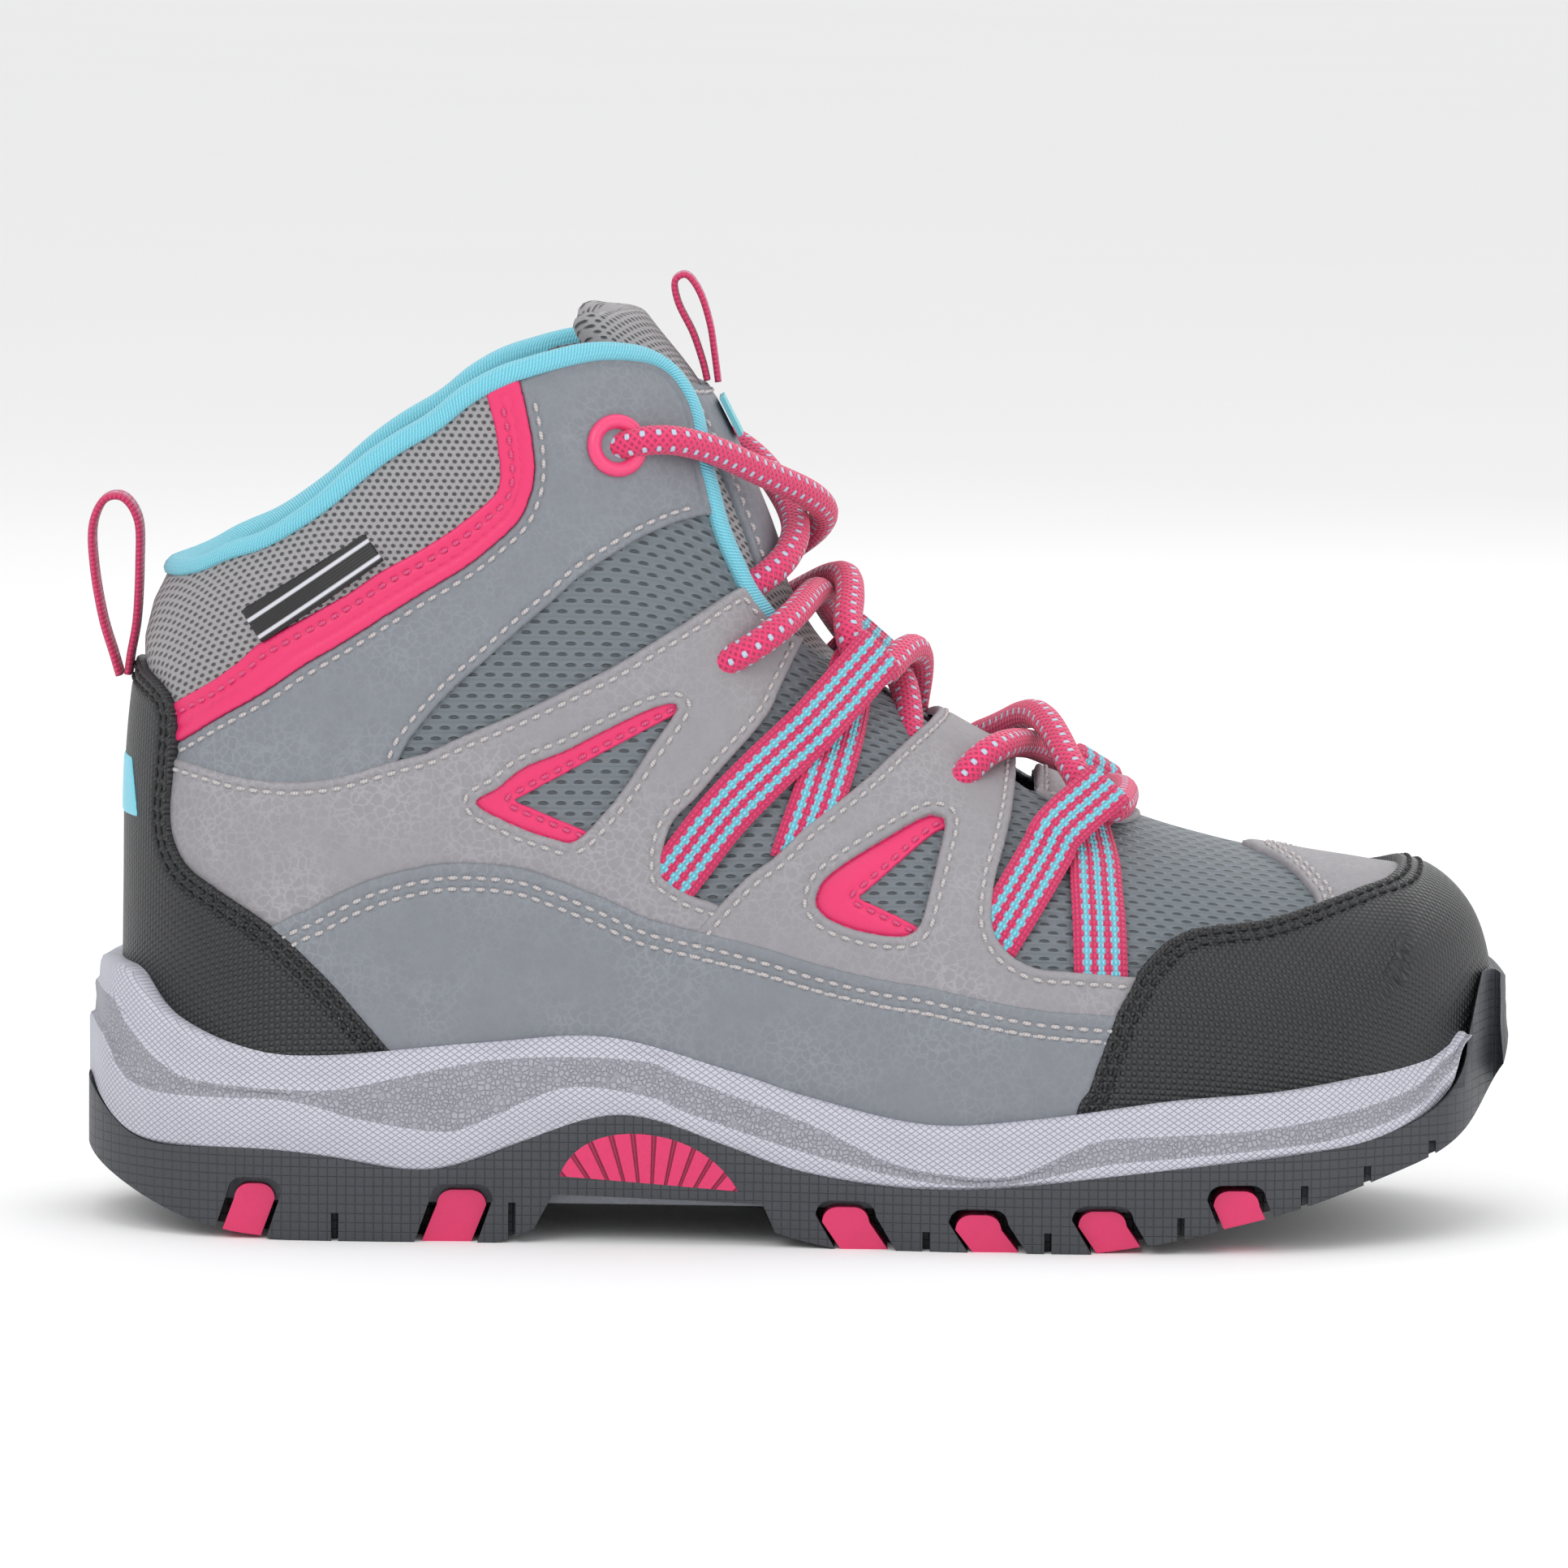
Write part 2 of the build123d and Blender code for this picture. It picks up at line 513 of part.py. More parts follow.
# ---- sole -----------------------------------------------------------------------------------
PLAN_OUTER = [(-117.4, 0), (-113.2, -18), (-100, -30.8), (-80, -35.8), (-50, -36.6), (-20, -37.8), (10, -41.2),
              (40, -44.4), (62, -44.2), (84, -40.5), (98, -32.6), (109, -21), (115.2, -10), (117.4, 0)]
PLAN_INNER = [(117.4, 0), (115.2, 11), (109, 23.4), (99, 34.6), (84, 42.4), (62, 44.8), (35, 43.2), (5, 37.4),
              (-25, 33.4), (-55, 33.4), (-85, 34), (-104, 28), (-114, 15), (-117.4, 0)]
SOLE_TOP = 52        # above everything of the sole


def plan_half(points, way):
    """Half of the footprint's edge, square to the middle plane at toe and heel."""
    tangents = [Vector(0, way, 0), Vector(0, -way, 0)]
    return Edge.make_spline([Vector(x, y, 0) for x, y in points], tangents=tangents)


footprint = Face(Wire([plan_half(PLAN_OUTER, -1), plan_half(PLAN_INNER, 1)]))
block_of_sole = Solid.extrude(footprint, Vector(0, 0, SOLE_TOP))
FEATHER = [(-112.2, 42), (-104.5, 35.4), (-90.7, 30.8), (-77.5, 29.9), (-51.3, 32.3),
           (-31.6, 33.4), (-11.9, 28.2), (1.2, 24.1), (20, 20.2), (37.8, 21.4), (59.9, 24.5), (79.7, 26),
           (101.6, 29.4), (108.8, 32)]
TREAD_TOP = [(-120, 25), (-116.5, 22), (-109.4, 15.8), (-97, 14.7), (-77, 13.8), (-60, 11.8), (-44.5, 16.7),
             (-28.8, 21), (-11.8, 16.2), (1.3, 12.2), (24.8, 10), (53.4, 13), (85, 16.6), (98.7, 19.9),
             (105.8, 24.6), (108.8, 32)]
GROUND = [[(-120, 15), (-117.4, 12), (-111, 7.8), (-98.5, 2.6), (-86.5, 0.4), (-70, -1), (-52, -0.6),
           (-43, 2.4)], [(-40, 8), (-6, 7)],
          [(-4, 2.4), (8, -0.2), (26, -1), (44, -0.4), (64, 3), (82.5, 7.8), (94, 11.4), (103, 14.8),
           (107.6, 17.4), (111, 20.2), (113.6, 23.6), (115.9, 28.6), (117.3, 33), (118.2, 36)]]
BUMPER = [(108.8, 32), (110.2, 38), (111.4, 42.4)], [(111.4, 42.4), (114.2, 42.2), (116.6, 39.8), (118.2, 36)]
cup = last_guard & zone(outline(raised(FLOOR, -BOARD), [(125, 170), (-125, 170)]))
midsole_zone = outline(FEATHER, TREAD_TOP[::-1])
midsole = (block_of_sole & zone(midsole_zone)) - cup - shank
save("midsole", midsole)
tread_zone = outline(TREAD_TOP, *BUMPER, GROUND[2][::-1], GROUND[1][::-1], GROUND[0][::-1])
outsole = (block_of_sole & zone(tread_zone)) - cup
arch_zone = outline([(-39, 11), (-34, 16.6), (-25, 18), (-17.5, 16), (-10, 9)], [(-10, 9), (-39, 11)])
arch = outsole & zone(arch_zone)
save("arch_insert", arch)
outsole = outsole - zone(arch_zone)


def lug_face(x, width, top, lean, grow=0.0):
    """Side view of a leaning lug with a round head, open below; grow makes the notch round it."""
    left, right = x - width / 2 - grow, x + width / 2 + grow
    high, shoulder = top + grow, top + grow - LUG_ROUND
    corner = 0.3 * LUG_ROUND
    head_left, head_right = left + lean / 2, right + lean / 2
    return outline(
        [(left - lean / 2, -2), (head_left, shoulder)],
        [(head_left, shoulder), (head_left + corner, high - corner), (head_left + LUG_ROUND, high)],
        [(head_left + LUG_ROUND, high), (head_right - LUG_ROUND, high)],
        [(head_right - LUG_ROUND, high), (head_right - corner, high - corner), (head_right, shoulder)],
        [(head_right, shoulder), (right - lean / 2, -2)])


# Soft lugs in notches along both sides: middle x, width and height of the head.
LUGS = {"heel": [(-90, 6.6, 9), (-56.4, 8, 8.4)],
        "fore": [(9.6, 7.6, 6.8), (31, 7.4, 6), (51, 7.8, 6.8), (72.6, 7.4, 10.2)]}
LEAN = {"heel": 3.2, "fore": -4.4}
for place, lugs in LUGS.items():
    inserts = []
    for x, width, top in lugs:
        lug = lug_face(x, width, top, LEAN[place])
        notch = lug_face(x, width, top, LEAN[place], NOTCH_GAP)
        edges = (outsole & zone(lug)).bounding_box()
        sides = [(edges.min.Y + RECESS, edges.min.Y + NOTCH_DEPTH, -REACH),
                 (edges.max.Y - RECESS, edges.max.Y - NOTCH_DEPTH, REACH)]
        for face, inner, far in sides:
            inserts.append(outsole & zone(lug, min(face, inner), max(face, inner)))
            outsole = outsole - zone(notch, min(inner, far), max(inner, far))
    save(f"lug_inserts_{place}", *inserts)

# Sipes across the edge of the tread: x and height of the top.
SIPES = [(-75.3, 4.6), (-46.6, 6.6), (20.4, 3.2), (40, 3.4), (61.4, 6), (81.4, 11), (91.8, 13.6), (102.6, 17)]
for x, top in SIPES:
    slit = Solid.make_box(SIPE_WIDTH, 4 * REACH, top + 2).moved(Location((x - SIPE_WIDTH / 2, -2 * REACH, -2)))
    edges = (outsole & slit).bounding_box()
    keep = Solid.make_box(4 * REACH, edges.size.Y - 2 * SIPE_DEPTH, 2 * REACH)
    outsole = outsole - (slit - keep.moved(Location((-2 * REACH, edges.min.Y + SIPE_DEPTH, -REACH))))

# Channels across the middle of the tread: x and height of the tread there.
CHANNELS = [(-100, 0), (-78, 0), (-67, 0), (-1, 0), (19, 0), (39, 0), (60, 1.7), (81.5, 5.3), (92, 7.1)]
for x, ground in CHANNELS:
    cutter = Solid.make_box(CHANNEL_WIDTH, CHANNEL_LENGTH, 2 * CHANNEL_DEPTH)
    corner = Location((x - CHANNEL_WIDTH / 2, -CHANNEL_LENGTH / 2, ground - CHANNEL_DEPTH))
    outsole = outsole - cutter.moved(corner)
save("outsole", outsole)
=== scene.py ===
import math

import bpy
import numpy as np
from mathutils import Matrix, Vector


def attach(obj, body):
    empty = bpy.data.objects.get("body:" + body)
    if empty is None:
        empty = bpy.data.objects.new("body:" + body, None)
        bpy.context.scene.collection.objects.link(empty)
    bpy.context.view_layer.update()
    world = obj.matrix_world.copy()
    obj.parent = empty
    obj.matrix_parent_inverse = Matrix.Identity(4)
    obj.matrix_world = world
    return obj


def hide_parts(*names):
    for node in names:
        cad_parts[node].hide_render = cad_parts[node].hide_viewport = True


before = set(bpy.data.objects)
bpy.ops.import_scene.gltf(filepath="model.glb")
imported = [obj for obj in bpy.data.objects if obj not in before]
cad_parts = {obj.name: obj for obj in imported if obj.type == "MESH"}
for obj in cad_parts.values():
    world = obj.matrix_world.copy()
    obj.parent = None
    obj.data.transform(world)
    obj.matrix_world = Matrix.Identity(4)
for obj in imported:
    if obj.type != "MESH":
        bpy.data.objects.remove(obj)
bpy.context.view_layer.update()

# Everything below is worked out in millimetres and scaled once, in add_mesh.
MM = 0.001

# ---- sizes shared with the CAD model -----------------------------------------------------
TEXTILE = 1.2        # thickness of the textile upper
LINING_DEPTH = 4.4   # inside of the lining, below the last's surface
LACE = 4.8           # diameter of the lace
CROSSING = 5.0       # height of one half of the lace over the other
TONGUE_HALF = 21.5

# Levels of the last: front x and z, back z, and rounding of the front edge.
LEVELS = np.array([
    (110.5, 6, 6, 24), (111, 18, 14, 24), (111.3, 32, 22, 24), (110.6, 43, 29, 22),
    (107.6, 51.2, 34.5, 20), (101.5, 56.6, 39, 20), (92.5, 58.4, 43, 23), (81, 60.2, 48, 27),
    (67.5, 63, 53, 30), (54, 67, 58, 31), (40.9, 73, 63.5, 31), (27.5, 79.2, 69.5, 31),
    (15, 87, 76, 31), (4.5, 95.8, 83, 31), (-1.3, 105.5, 90, 30), (-5.5, 116.5, 97, 29),
    (-10.5, 128, 104, 28), (-16.5, 139, 110, 27), (-24, 148.5, 115, 27), (-31, 158, 119, 27),
], dtype=float)
TOP = len(LEVELS) - 1
# Back line of the last: z, x.
BACK = np.array([(6, -109.3), (30, -109.2), (55, -109), (75, -108.7), (90, -107.2), (100, -105),
                 (125, -98.5)], dtype=float)
BACK_ROUND = 27.0    # rounding of the back edge
ARRIVAL = 0.25       # how straight a level runs into the front line
# Half widths: x, then outer side low and high, inner side low and high.
WIDTHS = np.array([
    (-125, 27, 25.5, 27, 25.5), (-100, 29, 27.5, 29, 27.5), (-70, 30.2, 29.5, 29, 29),
    (-35, 31, 29.5, 28.5, 28.5), (0, 33.5, 28, 31.5, 28), (25, 36.6, 29, 35.6, 29.5),
    (48, 38, 31, 38.6, 32), (68, 36.5, 31, 38.6, 33), (86, 32.5, 29, 36, 31),
    (100, 28, 25, 31.5, 28), (125, 18, 16, 22, 20),
], dtype=float)
FLOOR = [(-125, 26), (-90, 26), (-50, 26), (-28, 26), (0, 21), (25, 17), (50, 17), (80, 20.5),
         (102, 27), (125, 37)]


# ---- shape of the last -------------------------------------------------------------------
def ease(x):
    """Smooth step from 0 to 1."""
    x = np.clip(x, 0, 1)
    return x * x * (3 - 2 * x)


def run_along(points):
    """Length of a line of points up to each of them."""
    return np.concatenate([[0], np.cumsum(np.linalg.norm(np.diff(points, axis=0), axis=1))])


def read_at(s, run, rows):
    """Rows given along a line, read at the lengths s."""
    return np.stack([np.interp(s, run, column) for column in rows.T], -1)


def unit_rows(rows):
    return rows / np.linalg.norm(rows, axis=1)[:, None]


def smooth(xs, ys, x):
    """Smooth curve through (xs, ys), read at x."""
    x = np.clip(np.asarray(x, dtype=float), xs[0], xs[-1])
    i = np.clip(np.searchsorted(xs, x, side="right") - 1, 0, len(xs) - 2)
    index = np.arange(len(xs))
    a, b = np.maximum(index - 1, 0), np.minimum(index + 1, len(xs) - 1)
    slopes = (ys[b] - ys[a]) / (xs[b] - xs[a])
    step = xs[i + 1] - xs[i]
    t = (x - xs[i]) / step
    value = (2 * t**3 - 3 * t * t + 1) * ys[i] + (t**3 - 2 * t * t + t) * step * slopes[i]
    return value + (3 * t * t - 2 * t**3) * ys[i + 1] + (t**3 - t * t) * step * slopes[i + 1]


LEVEL_INDEX = np.arange(TOP + 1, dtype=float)


def front(v):
    return np.stack([smooth(LEVEL_INDEX, LEVELS[:, 0], v), smooth(LEVEL_INDEX, LEVELS[:, 1], v)],
                    -1)


def back(v):
    z = smooth(LEVEL_INDEX, LEVELS[:, 2], v)
    return np.stack([smooth(BACK[:, 0], BACK[:, 1], z), z], -1)


LINE_LEVELS = np.linspace(0, TOP, 8 * TOP + 1)
FRONT_LINE, BACK_LINE = front(LINE_LEVELS), back(LINE_LEVELS)


def depth(line, points, side):
    """Distance of points inside a boundary line, and the level where each is nearest."""
    best = np.full(len(points), 1e9)
    level = np.zeros(len(points))
    for i in range(len(line) - 1):
        d = line[i + 1] - line[i]
        w = points - line[i]
        t = np.clip((w @ d) / (d @ d), 0, 1)
        e = w - t[:, None] * d
        distance = np.hypot(e[:, 0], e[:, 1])
        closer = distance < np.abs(best)
        sign = np.where((d[0] * e[:, 1] - d[1] * e[:, 0]) * side >= 0, 1, -1)
        best = np.where(closer, distance * sign, best)
        level = np.where(closer, (i + t) / 8, level)
    return best, level


def rounding(d):
    return np.sqrt(1 - (1 - np.clip(d, 0, 1))**2)


def half_width(points, side, k=0.0):
    """Half width of the last at side-view points; side is -1 outer or +1 inner."""
    low, high = (1, 2) if side < 0 else (3, 4)
    x, z = points[:, 0], points[:, 1]
    s = ease((z - 28) / 80)
    width = smooth(WIDTHS[:, 0], WIDTHS[:, low],
                   x) * (1 - s) + smooth(WIDTHS[:, 0], WIDTHS[:, high], x) * s
    d_front, level = depth(FRONT_LINE, points, 1)
    d_back, _ = depth(BACK_LINE, points, -1)
    r = smooth(LEVEL_INDEX, LEVELS[:, 3], level)
    front_round, back_round = (d_front + k) / (r + k), (d_back + k) / (BACK_ROUND + k)
    return (width + k) * rounding(front_round) * rounding(back_round)


def outward(curve, v, sign):
    d = curve(np.minimum(v + 0.05, TOP)) - curve(np.maximum(v - 0.05, 0))
    d /= np.hypot(d[..., 0], d[..., 1])[..., None]
    return np.stack([sign * d[..., 1], -sign * d[..., 0]], -1)


def level_lines(v, t):
    """Side-view points of each level v at each t, from the back line to the front line."""
    start, end = back(v), front(v)
    chord = np.hypot(*(end - start).T)[:, None]
    leave = -outward(back, v, -1) * chord
    arrive = outward(front, v, 1) * ARRIVAL * chord
    weights = (2 * t**3 - 3 * t * t + 1, t**3 - 2 * t * t + t, 3 * t * t - 2 * t**3, t**3 - t * t)
    return sum(w[None, :, None] * p[:, None, :] for w,
               p in zip(weights, (start, leave, end, arrive)))


ROWS = 14 * TOP + 1
COLUMNS = 230


def side_grid(side):
    """Points of one side, evenly spaced along each level from back to front."""
    v = np.linspace(0, TOP, ROWS)
    t = (1 - np.cos(np.linspace(0, math.pi, 160))) / 2
    flat = level_lines(v, t)
    y = half_width(flat.reshape(-1, 2), side).reshape(flat.shape[:2])
    y[:, 0] = y[:, -1] = 0
    grid = np.zeros((ROWS, COLUMNS + 1, 2))
    for i in range(ROWS):
        run = run_along(np.column_stack([flat[i], y[i]]))
        even = np.linspace(0, run[-1], COLUMNS + 1)
        for axis in (0, 1):
            grid[i, :, axis] = np.interp(even, run, flat[i, :, axis])
    y = half_width(grid.reshape(-1, 2), side).reshape(grid.shape[:2])
    y[:, 0] = y[:, -1] = 0
    return np.stack([grid[..., 0], side * y, grid[..., 1]], -1)


outer_grid, inner_grid = side_grid(-1), side_grid(1)
# One loop of columns: back to toe on the outer side, then toe to back on the inner side.
GRID = np.concatenate([outer_grid, inner_grid[:, -2:0:-1]], axis=1)
LOOP = GRID.shape[1]
along_u = (np.roll(GRID, -1, 1) - np.roll(GRID, 1, 1)) / 2
along_v = np.gradient(GRID, axis=0)
NORMAL = np.cross(along_v, along_u)
NORMAL /= np.linalg.norm(NORMAL, axis=2)[..., None]
if NORMAL[ROWS // 3, COLUMNS // 2, 1] > 0:
    NORMAL = -NORMAL
# Rows of a textile run level along the sides and go on over the ridge.
OVER_RIDGE = 0.7
TEXTILE_UV = np.stack([GRID[..., 0], GRID[..., 2] - OVER_RIDGE * np.abs(GRID[..., 1])], -1)
# The weave of the caps also goes on round the toe and the heel.
ROUND_END = 0.75
width_here = np.sqrt(GRID[..., 1]**2 + 4)
CAP_UV = np.stack([GRID[..., 0] - ROUND_END * np.sign(GRID[..., 0]) * width_here,
                   GRID[..., 2] - OVER_RIDGE * width_here], -1)


def on_last(x, z, side, k=0.0):
    """Point k above the last at a side-view place; side 0 is on the ridge line."""
    place = np.array([[x, z]], dtype=float)
    if side == 0:
        level = depth(FRONT_LINE, place, 1)[1]
        f, n = front(level)[0], outward(front, level, 1)[0]
        return np.array([f[0] + k * n[0], 0, f[1] + k * n[1]])
    e = 0.5
    nearby = place + np.array([[0, 0], [e, 0], [-e, 0], [0, e], [0, -e]])
    h = half_width(nearby, side)
    normal = np.array([-(h[1] - h[2]) / (2 * e), side, -(h[3] - h[4]) / (2 * e)])
    return np.array([x, side * h[0], z]) + k * normal / np.linalg.norm(normal)


def across(x, z, y, k):
    """Point near the ridge, y to the side of it and k above the surface."""
    top = on_last(x, z, 0, k)
    return np.array([top[0] - abs(y) * 0.12, y, top[2] - abs(y) * 0.12])


# ---- outlines and fields -----------------------------------------------------------------
def curve(points, closed=False, steps=8):
    """Smooth line through 2-D or 3-D points."""
    p = np.asarray(points, dtype=float)
    n = len(p)
    if n < 3:
        return p
    out = []
    for i in range(n if closed else n - 1):
        if closed:
            a, b, c, d = p[i - 1], p[i], p[(i + 1) % n], p[(i + 2) % n]
        else:
            b, c = p[i], p[i + 1]
            a = p[i - 1] if i else 2 * b - c
            d = p[i + 2] if i + 2 < n else 2 * c - b
        for t in np.arange(steps) / steps:
            out.append(0.5 * (2 * b + (c - a) * t + (2 * a - 5 * b + 4 * c - d) * t * t
                              + (3 * b - a - 3 * c + d) * t**3))
    if not closed:
        out.append(p[-1])
    return np.array(out)


def outline(*runs):
    """Closed side-view outline; each run of three points or more is a curve."""
    return np.concatenate([curve(run) for run in runs])


def inside_distance(points, shape):
    """Signed distance from points to a closed outline, positive inside it."""
    x, z = points[:, 0], points[:, 1]
    best = np.full(len(points), 1e9)
    inside = np.zeros(len(points), dtype=bool)
    for a, b in zip(shape, np.roll(shape, -1, axis=0)):
        d = b - a
        if not d.any():
            continue
        w = points - a
        t = np.clip((w @ d) / (d @ d), 0, 1)
        e = w - t[:, None] * d
        best = np.minimum(best, np.hypot(e[:, 0], e[:, 1]))
        if a[1] != b[1]:
            crosses = ((a[1] > z) != (b[1] > z)) & (x < d[0] * (z - a[1]) / d[1] + a[0])
            inside ^= crosses
    return np.where(inside, best, -best)


def field(*shapes, minus=()):
    """Distance inside all the shapes and outside those in minus, measured along the surface."""
    flat = GRID[..., [0, 2]].reshape(-1, 2)
    f = np.full(len(flat), 1e9)
    for shape in shapes:
        f = np.minimum(f, inside_distance(flat, shape))
    for shape in minus:
        f = np.minimum(f, -inside_distance(flat, shape))
    return along_surface(f.reshape(GRID.shape[:2]))


def along_surface(f):
    """Turns a side-view distance into one measured along the surface."""
    fu = (np.roll(f, -1, 1) - np.roll(f, 1, 1)) / 2
    fv = np.gradient(f, axis=0)
    uu, vv = np.sum(along_u**2, 2), np.sum(along_v**2, 2)
    uv = np.sum(along_u * along_v, 2)
    rising = vv * fu**2 - 2 * uv * fu * fv + uu * fv**2
    slope = np.sqrt(np.abs(rising / np.maximum(uu * vv - uv**2, 1e-6)))
    return f / np.clip(slope, 0.3, 1)


# Edge of the sole against the upper, in the side view.
FEATHER = [(-118, 42.4), (-112.2, 42), (-104.5, 35.4), (-90.7, 30.8), (-77.5, 29.9), (-51.3, 32.3),
           (-31.6, 33.4), (-11.9, 28.2), (1.2, 24.1), (20, 20.2), (37.8, 21.4), (59.9, 24.5),
           (79.7, 26),
           (101.6, 29.4), (108.8, 32), (118, 36)]
SOLE_TOP = np.array(FEATHER[:-1] + [(111.4, 42.4), (118, 42.4)])


# ---- meshes ------------------------------------------------------------------------------
def add_mesh(name, points, faces, uv=None, material=None):
    """Makes an object from points in millimetres; uv holds one (u, v) pair a point."""
    mesh = bpy.data.meshes.new(name)
    mesh.from_pydata((np.asarray(points) * MM).tolist(), [], faces)
    if uv is not None:
        layer = mesh.uv_layers.new(name="mm")
        corner = np.zeros(len(mesh.loops), dtype=np.int32)
        mesh.loops.foreach_get("vertex_index", corner)
        layer.data.foreach_set("uv", np.asarray(uv)[corner].astype(np.float32).ravel())
    mesh.polygons.foreach_set("use_smooth", [True] * len(mesh.polygons))
    mesh.validate()
    mesh.update()
    piece = bpy.data.objects.new(name, mesh)
    bpy.context.collection.objects.link(piece)
    if material:
        mesh.materials.append(material)
    return piece


BOTH, OUTER, INNER = 0, -1, 1


class Patch:
    """Part of the last's surface, cut along lines of equal distance from its edge."""

    def __init__(self, f, side=BOTH, cuts=(0.0,), tidy=0.08, uv=TEXTILE_UV):
        f = f.copy()
        for cut in cuts:
            f[np.abs(f - cut) < tidy] = cut
        self.place = GRID.reshape(-1, 3).tolist()
        self.normal = NORMAL.reshape(-1, 3).tolist()
        self.uv = uv.reshape(-1, 2).tolist()
        self.f = f.ravel().tolist()
        i, j = np.meshgrid(np.arange(ROWS - 1), np.arange(LOOP), indexing="ij")
        if side == OUTER:
            keep = j < COLUMNS
        elif side == INNER:
            keep = j >= COLUMNS
        else:
            keep = np.ones_like(j, dtype=bool)
        k = (j + 1) % LOOP
        corners = np.stack([i * LOOP + j, i * LOOP + k, (i + 1) * LOOP + k, (i + 1) * LOOP + j], -1)
        flat = f.ravel()
        keep &= (flat[corners] > cuts[0]).any(-1)
        self.faces = corners[keep].tolist()
        for cut in cuts:
            self.split(cut)
        limit = cuts[0] - 1e-6
        self.faces = [face for face in self.faces if min(self.f[p] for p in face) >= limit]
        self.compact()

    def split(self, cut):
        """Splits every face that crosses the line f = cut."""
        f, made, faces = self.f, {}, []
        for face in self.faces:
            values = [f[p] for p in face]
            if min(values) >= cut or max(values) <= cut:
                faces.append(face)
                continue
            above, below = [], []
            for p, q in zip(face, face[1:] + face[:1]):
                if f[p] >= cut:
                    above.append(p)
                if f[p] <= cut:
                    below.append(p)
                if (f[p] - cut) * (f[q] - cut) < 0:
                    key = (min(p, q), max(p, q))
                    if key not in made:
                        made[key] = self.between(p, q, (cut - f[p]) / (f[q] - f[p]), cut)
                    above.append(made[key])
                    below.append(made[key])
            faces += [part for part in (above, below) if len(part) > 2]
        self.faces = faces

    def between(self, p, q, t, cut):
        for values in (self.place, self.normal, self.uv):
            values.append([a + (b - a) * t for a, b in zip(values[p], values[q])])
        self.f.append(cut)
        return len(self.f) - 1

    def compact(self):
        used = sorted({p for face in self.faces for p in face})
        new = {p: i for i, p in enumerate(used)}
        self.place = np.array([self.place[p] for p in used])
        self.normal = unit_rows(np.array([self.normal[p] for p in used]))
        self.uv = np.array([self.uv[p] for p in used])
        self.f = np.array([self.f[p] for p in used])
        self.faces = [[new[p] for p in face] for face in self.faces]

    def rim(self):
        """Directed edges used by one face only."""
        edges = {}
        for face in self.faces:
            for p, q in zip(face, face[1:] + face[:1]):
                edges[(p, q)] = edges.get((p, q), 0) + 1
        return [e for e in edges if (e[1], e[0]) not in edges]

    def lines(self, cut):
        """Chains of points along f = cut."""
        links = {}
        for face in self.faces:
            for p, q in zip(face, face[1:] + face[:1]):
                if abs(self.f[p] - cut) < 1e-6 and abs(self.f[q] - cut) < 1e-6:
                    links.setdefault(p, set()).add(q)
                    links.setdefault(q, set()).add(p)
        chains, seen = [], set()
        starts = [p for p in links if len(links[p]) == 1] + list(links)
        for start in starts:
            if start in seen:
                continue
            chain, here = [start], start
            seen.add(start)
            while True:
                onward = [q for q in links[here] if q not in seen]
                if not onward:
                    break
                here = onward[0]
                seen.add(here)
                chain.append(here)
            if len(chain) > 4:
                if start in links[chain[-1]] and len(chain) > 8:
                    chain.append(start)
                chains.append(chain)
        return chains


def edge_height(f, thickness, soft=0.9):
    """Height of a sheet of leather whose edge is rounded over."""
    return thickness * (0.5 + 0.5 * rounding(f / soft))


def sew_dip(f, insets, amount=0.32, width=0.55):
    return sum(-amount * np.exp(-((f - inset) / width)**2) for inset in insets) if insets else 0 * f


def above_sole(p):
    """True where a seam runs clear of the sole."""
    return p[2] > np.interp(p[0], SOLE_TOP[:, 0], SOLE_TOP[:, 1]) - 1.0


def panel(name, f, thickness, material, side=BOTH, insets=(), thread=None, lift=0.0, puff=0.0,
          pitch=2.3, where=None, uv=TEXTILE_UV):
    """A sewn panel: a sheet with rounded edges, dipped seams and real stitches in them."""
    cuts = [0.0, 0.3, 0.9]
    for inset in insets:
        cuts += [inset - 0.55, inset, inset + 0.55]
    patch = Patch(f, side, sorted(set(cuts)), uv=uv)
    height = lift + edge_height(patch.f, thickness) + sew_dip(patch.f, insets)
    if puff:
        height = height + puff * np.clip((patch.f - max(insets, default=0)) / 6, 0, 1)
    top = patch.place + patch.normal * height[:, None]
    count = len(top)
    rim = patch.rim()
    on_rim = sorted({p for edge in rim for p in edge})
    below = {p: count + i for i, p in enumerate(on_rim)}
    foot = patch.place[on_rim] + patch.normal[on_rim] * min(-0.1, lift)
    walls = [[q, p, below[p], below[q]] for p, q in rim]
    points = np.concatenate([top, foot])
    uv = np.concatenate([patch.uv, patch.uv[on_rim]])
    piece = add_mesh(name, points, patch.faces + walls, uv, material)
    if thread:
        runs = []
        for inset in insets:
            for chain in patch.lines(inset):
                shown = [above_sole(place) and (where is None or where(place))
                         for place in patch.place[chain]]
                for first, last_one in stretches(shown):
                    part = chain[first:last_one]
                    runs.append((top[part], patch.normal[part]))
        stitch(name + "_stitches", runs, thread, pitch)
    return piece


def stretches(flags):
    """Start and end of each unbroken stretch of true flags that is long enough to sew."""
    spans, first = [], None
    for i, flag in enumerate(list(flags) + [False]):
        if flag and first is None:
            first = i
        elif not flag and first is not None:
            if i - first > 3:
                spans.append((first, i))
            first = None
    return spans


STITCH_SIDES, STITCH_RINGS = 6, 5
made_stitches = []


def resample(points, spacing):
    run = run_along(points)
    if run[-1] < spacing:
        return None, run
    return np.arange(spacing / 2, run[-1] - spacing / 4, spacing), run


